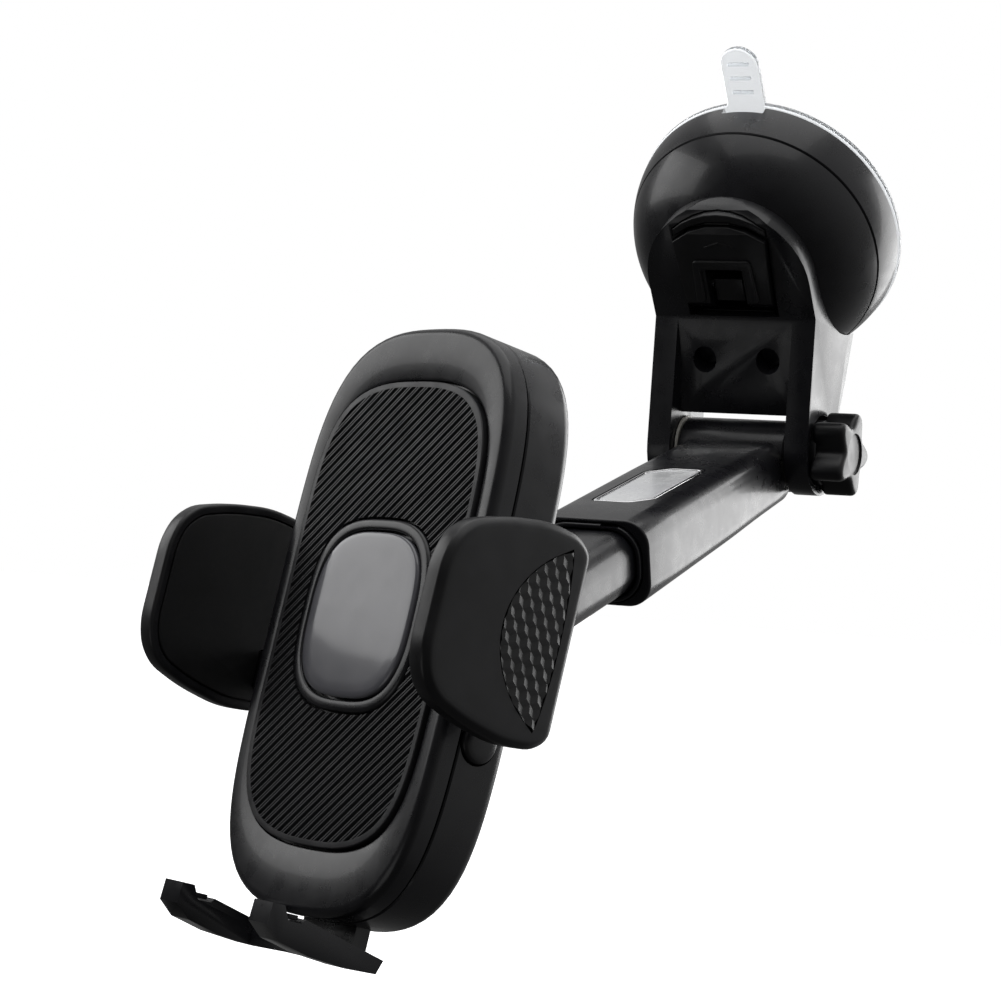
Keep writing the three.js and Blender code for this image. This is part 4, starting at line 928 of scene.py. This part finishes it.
def grip_outline(grow=0.0):
    top, bulge, power, back, lean, steps = GRIP.values()
    points = [(back - lean, -(top + 2 * grow))]
    spots = [-1 + 2 * i / steps for i in range(1, steps)]
    points += [(back + grow - lean * s * s, top * s) for s in spots]
    points.append((back - lean, top + 2 * grow))
    points += [(back - grow - bulge * (1 - s * s) ** power - lean * s * s, top * s) for s in reversed(spots)]
    return points


def mirror(side):
    return CRADLE if side > 0 else CRADLE @ Matrix.Scale(-1, 4, (1, 0, 0))


def jaw_plate(side, level):
    name = "jaw_right" if side > 0 else "jaw_left"
    where = mirror(side)
    low = JAW_IN + JAW_PAD_T + GAP
    high = low + JAW_T
    rings = [[(low, u, v) for u, v in jaw_outline(JAW_FACE_INSET)]]
    rings.append([(JAW_IN + 0.1, u, v) for u, v in jaw_outline(JAW_FACE_INSET)])
    for move, depth in edge_arc(0.7):
        rings.append([(JAW_IN + depth, u, v) for u, v in jaw_outline(move)])
    for move, depth in JAW_BEVEL:
        rings.append([(high - depth, u, v) for u, v in jaw_outline(move)])
    for share, depth in JAW_CROWN:
        rings.append([(high - depth, u, v) for u, v in shrunk(jaw_outline(JAW_FACE_INSET), share)])
    jaw = loft(name + "_look", rings, where)
    jaw = boolean(jaw, slab("grip_seat", grip_outline(GAP), high - 1.1, high + 2, where, "x", 0.05, 0.05))
    near, far = BAR_NEAR - GAP, BAR_NEAR + BAR_W + GAP
    middle = (near + far) / 2 * level
    hole = rounded_rect(BAR_T + 2 * GAP, far - near, 0.4, 4, middle)
    hole = [(u + BAR_BACK - BAR_T / 2, v) for u, v in hole]
    jaw = boolean(jaw, slab("bar_seat", hole, 0, low + 1.2, where, "x", 0.05, 0.05))
    piece(jaw, name, "satin_black", SATIN, name)


def jaw_pad(side, level):
    name = "jaw_pad_right" if side > 0 else "jaw_pad_left"
    body = "jaw_right" if side > 0 else "jaw_left"
    where = mirror(side)
    pad = slab(name + "_look", jaw_outline(JAW_PAD_INSET), JAW_IN, JAW_IN + JAW_PAD_T, where, "x", 0.3, 0.1)
    near, far = BAR_NEAR - GAP, BAR_NEAR + BAR_W + GAP
    middle = (near + far) / 2 * level
    hole = [(u + 24.35, v) for u, v in rounded_rect(31.3, far - near, 0.4, 4, middle)]
    pad = boolean(pad, slab("bar_gap", hole, 0, 60, where, "x", 0.05, 0.05))
    piece(pad, body, "rubber", RUBBER, name)


def block_field(bm, top):
    """A sheet of small cubes seen corner on, its corners on three levels."""
    pitch = BLOCK["pitch"]
    spots = {}
    for i in range(-BLOCK["across"], BLOCK["across"] + 1):
        for j in range(-BLOCK["up"], BLOCK["up"] + 1):
            y, z = pitch * (i + j / 2), pitch * j * math.sqrt(3) / 2
            level = (i - j) % 3
            spots[i, j] = bm.verts.new((top - BLOCK["step"] * level, BLOCK["middle"] + z, y))
    for (i, j), here in spots.items():
        for a, b in (((i + 1, j), (i, j + 1)), ((i - 1, j), (i, j - 1))):
            if a in spots and b in spots:
                bm.faces.new((here, spots[a], spots[b]))


def cut_to_lens(bm, floor):
    """Cuts the sheet to the grip's outline and draws its rim down to the floor."""
    outline = grip_outline()
    for k, (y, z) in enumerate(outline):
        ny, nz = outline[(k + 1) % len(outline)]
        normal = Vector((0, nz - z, -(ny - y)))
        cut = bm.verts[:] + bm.edges[:] + bm.faces[:]
        bmesh.ops.bisect_plane(bm, geom=cut, plane_co=(0, y, z), plane_no=normal, clear_outer=True)
    rim = [edge for edge in bm.edges if len(edge.link_faces) == 1]
    grown = bmesh.ops.extrude_edge_only(bm, edges=rim)
    for item in grown["geom"]:
        if isinstance(item, bmesh.types.BMVert):
            item.co.x = floor


def paint_block_shades(obj, where):
    """Paints shade on the small cubes: each of their three sides gets a darker or lighter base colour by the way
    it faces.
    """
    obj.data.materials.append(GRIP_PAINTED_SHADES[1])
    obj.data.materials.append(GRIP_PAINTED_SHADES[2])
    out = (where.to_3x3() @ Vector((1, 0, 0))).normalized()
    up = (where.to_3x3() @ Vector((0, 0, 1))).normalized()
    back = (where.to_3x3() @ Vector((0, 1, 0))).normalized()
    for face in obj.data.polygons:
        if face.normal.dot(out) > 0.3:
            lean = math.degrees(math.atan2(face.normal.dot(up), face.normal.dot(back)))
            # painted shade: the side's base colour is picked by the way it faces
            face.material_index = int(((lean + GRIP_SHADE_TURN) % 360) // 120)


def tumbling_blocks(side):
    """The grip's relief of small cubes, cut to the lens outline."""
    name = "grip_right" if side > 0 else "grip_left"
    body = "jaw_right" if side > 0 else "jaw_left"
    top = JAW_IN + JAW_PAD_T + GAP + JAW_T + BLOCK["proud"]
    bm = bmesh.new()
    block_field(bm, top)
    cut_to_lens(bm, top - BLOCK["deep"])
    mesh = bpy.data.meshes.new(name)
    bmesh.ops.recalc_face_normals(bm, faces=bm.faces)
    bm.to_mesh(mesh)
    bm.free()
    where = mirror(side)
    mesh.transform(where)
    if where.determinant() < 0:
        mesh.flip_normals()
    obj = bpy.data.objects.new(name + "_look", mesh)
    bpy.context.scene.collection.objects.link(obj)
    piece(obj, body, "rubber", GRIP_PAINTED_SHADES[0], name, angle=5)
    paint_block_shades(obj, where)


def release_button(side):
    name = "release_button_right" if side > 0 else "release_button_left"
    body = "button_right" if side > 0 else "button_left"
    x, r = BUTTON["x"], BUTTON["r"]
    profile = [(0, x - 5.5), (r + 0.5, x - 5.5), (r + 0.5, x - 3), (r, x - 3), (r, x + 0.3)]
    profile += [(r - 0.2, x + 0.6), (r - 0.7, x + 0.8), (r - 1.6, x + 0.9), (0, x + 0.9)]
    cap = lathe(name + "_look", profile, mirror(side), 64, (BUTTON["y"], BUTTON["z"]), "x")
    piece(cap, body, "satin_black", SATIN, name)


def cradle():
    rear_shell()
    socket_boss()
    front_frame()
    ribbed_pad()
    centre_ring()
    centre_panel()
    for side, level in ((-1, -1), (1, 1)):
        jaw_plate(side, level)
        jaw_pad(side, level)
        tumbling_blocks(side)
        release_button(side)
    piece(softened("foot_bracket", 0.5, 25), "foot", "gloss_black", GLOSS, "foot_bracket")
    for node in ("foot_pad_left", "foot_pad_right"):
        piece(softened(node, 0.2), "foot", "rubber", RUBBER, node)
    piece(softened("rack_left", 0.25), "jaw_left", "satin_black", SATIN, "rack_left")
    piece(softened("rack_right", 0.25), "jaw_right", "satin_black", SATIN, "rack_right")
    piece(softened("ball_nut", 0.35), "ball_clamp", "satin_black", SATIN, "ball_nut")


# ---------- hidden pieces keep their CAD shape ----------
SLOT_LOOKS = {
    "gloss_black": GLOSS,
    "satin_black": SATIN,
    "rubber": RUBBER,
    "clear_gel": GEL,
    "grey_gloss": PANEL,
    "steel": STEEL,
    "black_steel": BLACK_STEEL,
    "silver": SILVER,
    "nylon": NYLON,
}


def dress_cad():
    for part in frame["record"]["subparts"]:
        node = frame["nodes"][part["node"]]
        node.data.materials.clear()
        node.data.materials.append(SLOT_LOOKS[part["material_slot"]])


# ---------- stage ----------
def soft_light(name, place, size, radiance, target=(0, -0.09, -0.06)):
    """A rectangular lamp of a given radiance, aimed at the object."""
    data = bpy.data.lights.new(name, "AREA")
    data.shape = "RECTANGLE"
    data.size, data.size_y = size
    data.energy = radiance * math.pi * size[0] * size[1]
    light = bpy.data.objects.new(name, data)
    light.location = place
    aim = Vector(target) - Vector(place)
    light.rotation_euler = aim.to_track_quat("-Z", "Y").to_euler()
    bpy.context.scene.collection.objects.link(light)


def pale_floor():
    floor_z = cad_bounds[0][2] - FLOOR_DROP
    verts = [(x * FLOOR_HALF, y * FLOOR_HALF, floor_z) for x, y in ((-1, -1), (1, -1), (1, 1), (-1, 1))]
    floor = new_object("floor", verts, [(0, 1, 2, 3)], Matrix.Identity(4))
    look, shader = base_material("pale floor", (0.86, 0.86, 0.87), 0.7)
    shader.inputs["Emission Color"].default_value = (1, 1, 1, 1)
    shader.inputs["Emission Strength"].default_value = 0.95
    floor.data.materials.append(look)
    floor.visible_glossy = False
    floor.visible_diffuse = False


def studio_world():
    """White behind the object; in its gloss the room is dim in front and below, brighter above."""
    world = bpy.data.worlds.new("studio")
    world.use_nodes = True
    tree = world.node_tree
    seen = tree.nodes["Background"]
    seen.inputs["Color"].default_value = (1, 1, 1, 1)
    room = tree.nodes.new("ShaderNodeBackground")
    coords = tree.nodes.new("ShaderNodeTexCoord")
    height = tree.nodes.new("ShaderNodeVectorMath")
    height.operation = "DOT_PRODUCT"
    height.inputs[1].default_value = ROOM_BRIGHT_SIDE
    tree.links.new(coords.outputs["Generated"], height.inputs[0])
    spread = tree.nodes.new("ShaderNodeMapRange")
    spread.interpolation_type = "SMOOTHSTEP"
    spread.inputs["From Min"].default_value = -0.5
    spread.inputs["From Max"].default_value = 1.0
    spread.inputs["To Min"].default_value = ROOM_DIM
    spread.inputs["To Max"].default_value = ROOM_BRIGHT
    tree.links.new(height.outputs["Value"], spread.inputs["Value"])
    tree.links.new(spread.outputs["Result"], room.inputs["Strength"])
    path = tree.nodes.new("ShaderNodeLightPath")
    mix = tree.nodes.new("ShaderNodeMixShader")
    clear = tree.nodes.new("ShaderNodeMath")
    clear.operation = "MAXIMUM"
    tree.links.new(path.outputs["Is Camera Ray"], clear.inputs[0])
    tree.links.new(path.outputs["Is Transmission Ray"], clear.inputs[1])
    tree.links.new(clear.outputs["Value"], mix.inputs["Fac"])
    tree.links.new(room.outputs["Background"], mix.inputs[1])
    tree.links.new(seen.outputs["Background"], mix.inputs[2])
    tree.links.new(mix.outputs["Shader"], tree.nodes["World Output"].inputs["Surface"])
    bpy.context.scene.world = world


def stage():
    pale_floor()
    studio_world()
    soft_light("right wall", (0.45, 0.8, 0.12), (0.8, 0.8), 3.2)
    soft_light("left wall", (-0.84, -0.31, 0.33), (0.95, 0.5), 1.9)
    soft_light("overhead", (-0.05, -0.1, 0.9), (1.5, 1.1), 0.9)
    soft_light("front fill", (-0.35, -0.85, -0.35), (0.5, 0.35), 0.5)


def camera():
    data = bpy.data.cameras.new("camera")
    data.sensor_width = SENSOR
    data.lens = LENS
    eye = bpy.data.objects.new("camera", data)
    right = Vector(EYE_RIGHT).normalized()
    forward = Vector(EYE_FORWARD).normalized()
    up = right.cross(forward).normalized()
    right = forward.cross(up)
    turn = Matrix((right, up, -forward)).transposed().to_4x4()
    eye.matrix_world = Matrix.Translation(EYE_PLACE) @ turn
    bpy.context.scene.collection.objects.link(eye)
    bpy.context.scene.camera = eye


dress_cad()
suction_base()
clamp_knob()
pivot_bolt()
outer_arm()
arm_badge()
arm_collar()
inner_tube()
ball_stud()
cradle()
stage()
camera()

bpy.context.scene.view_settings.view_transform = "Standard"
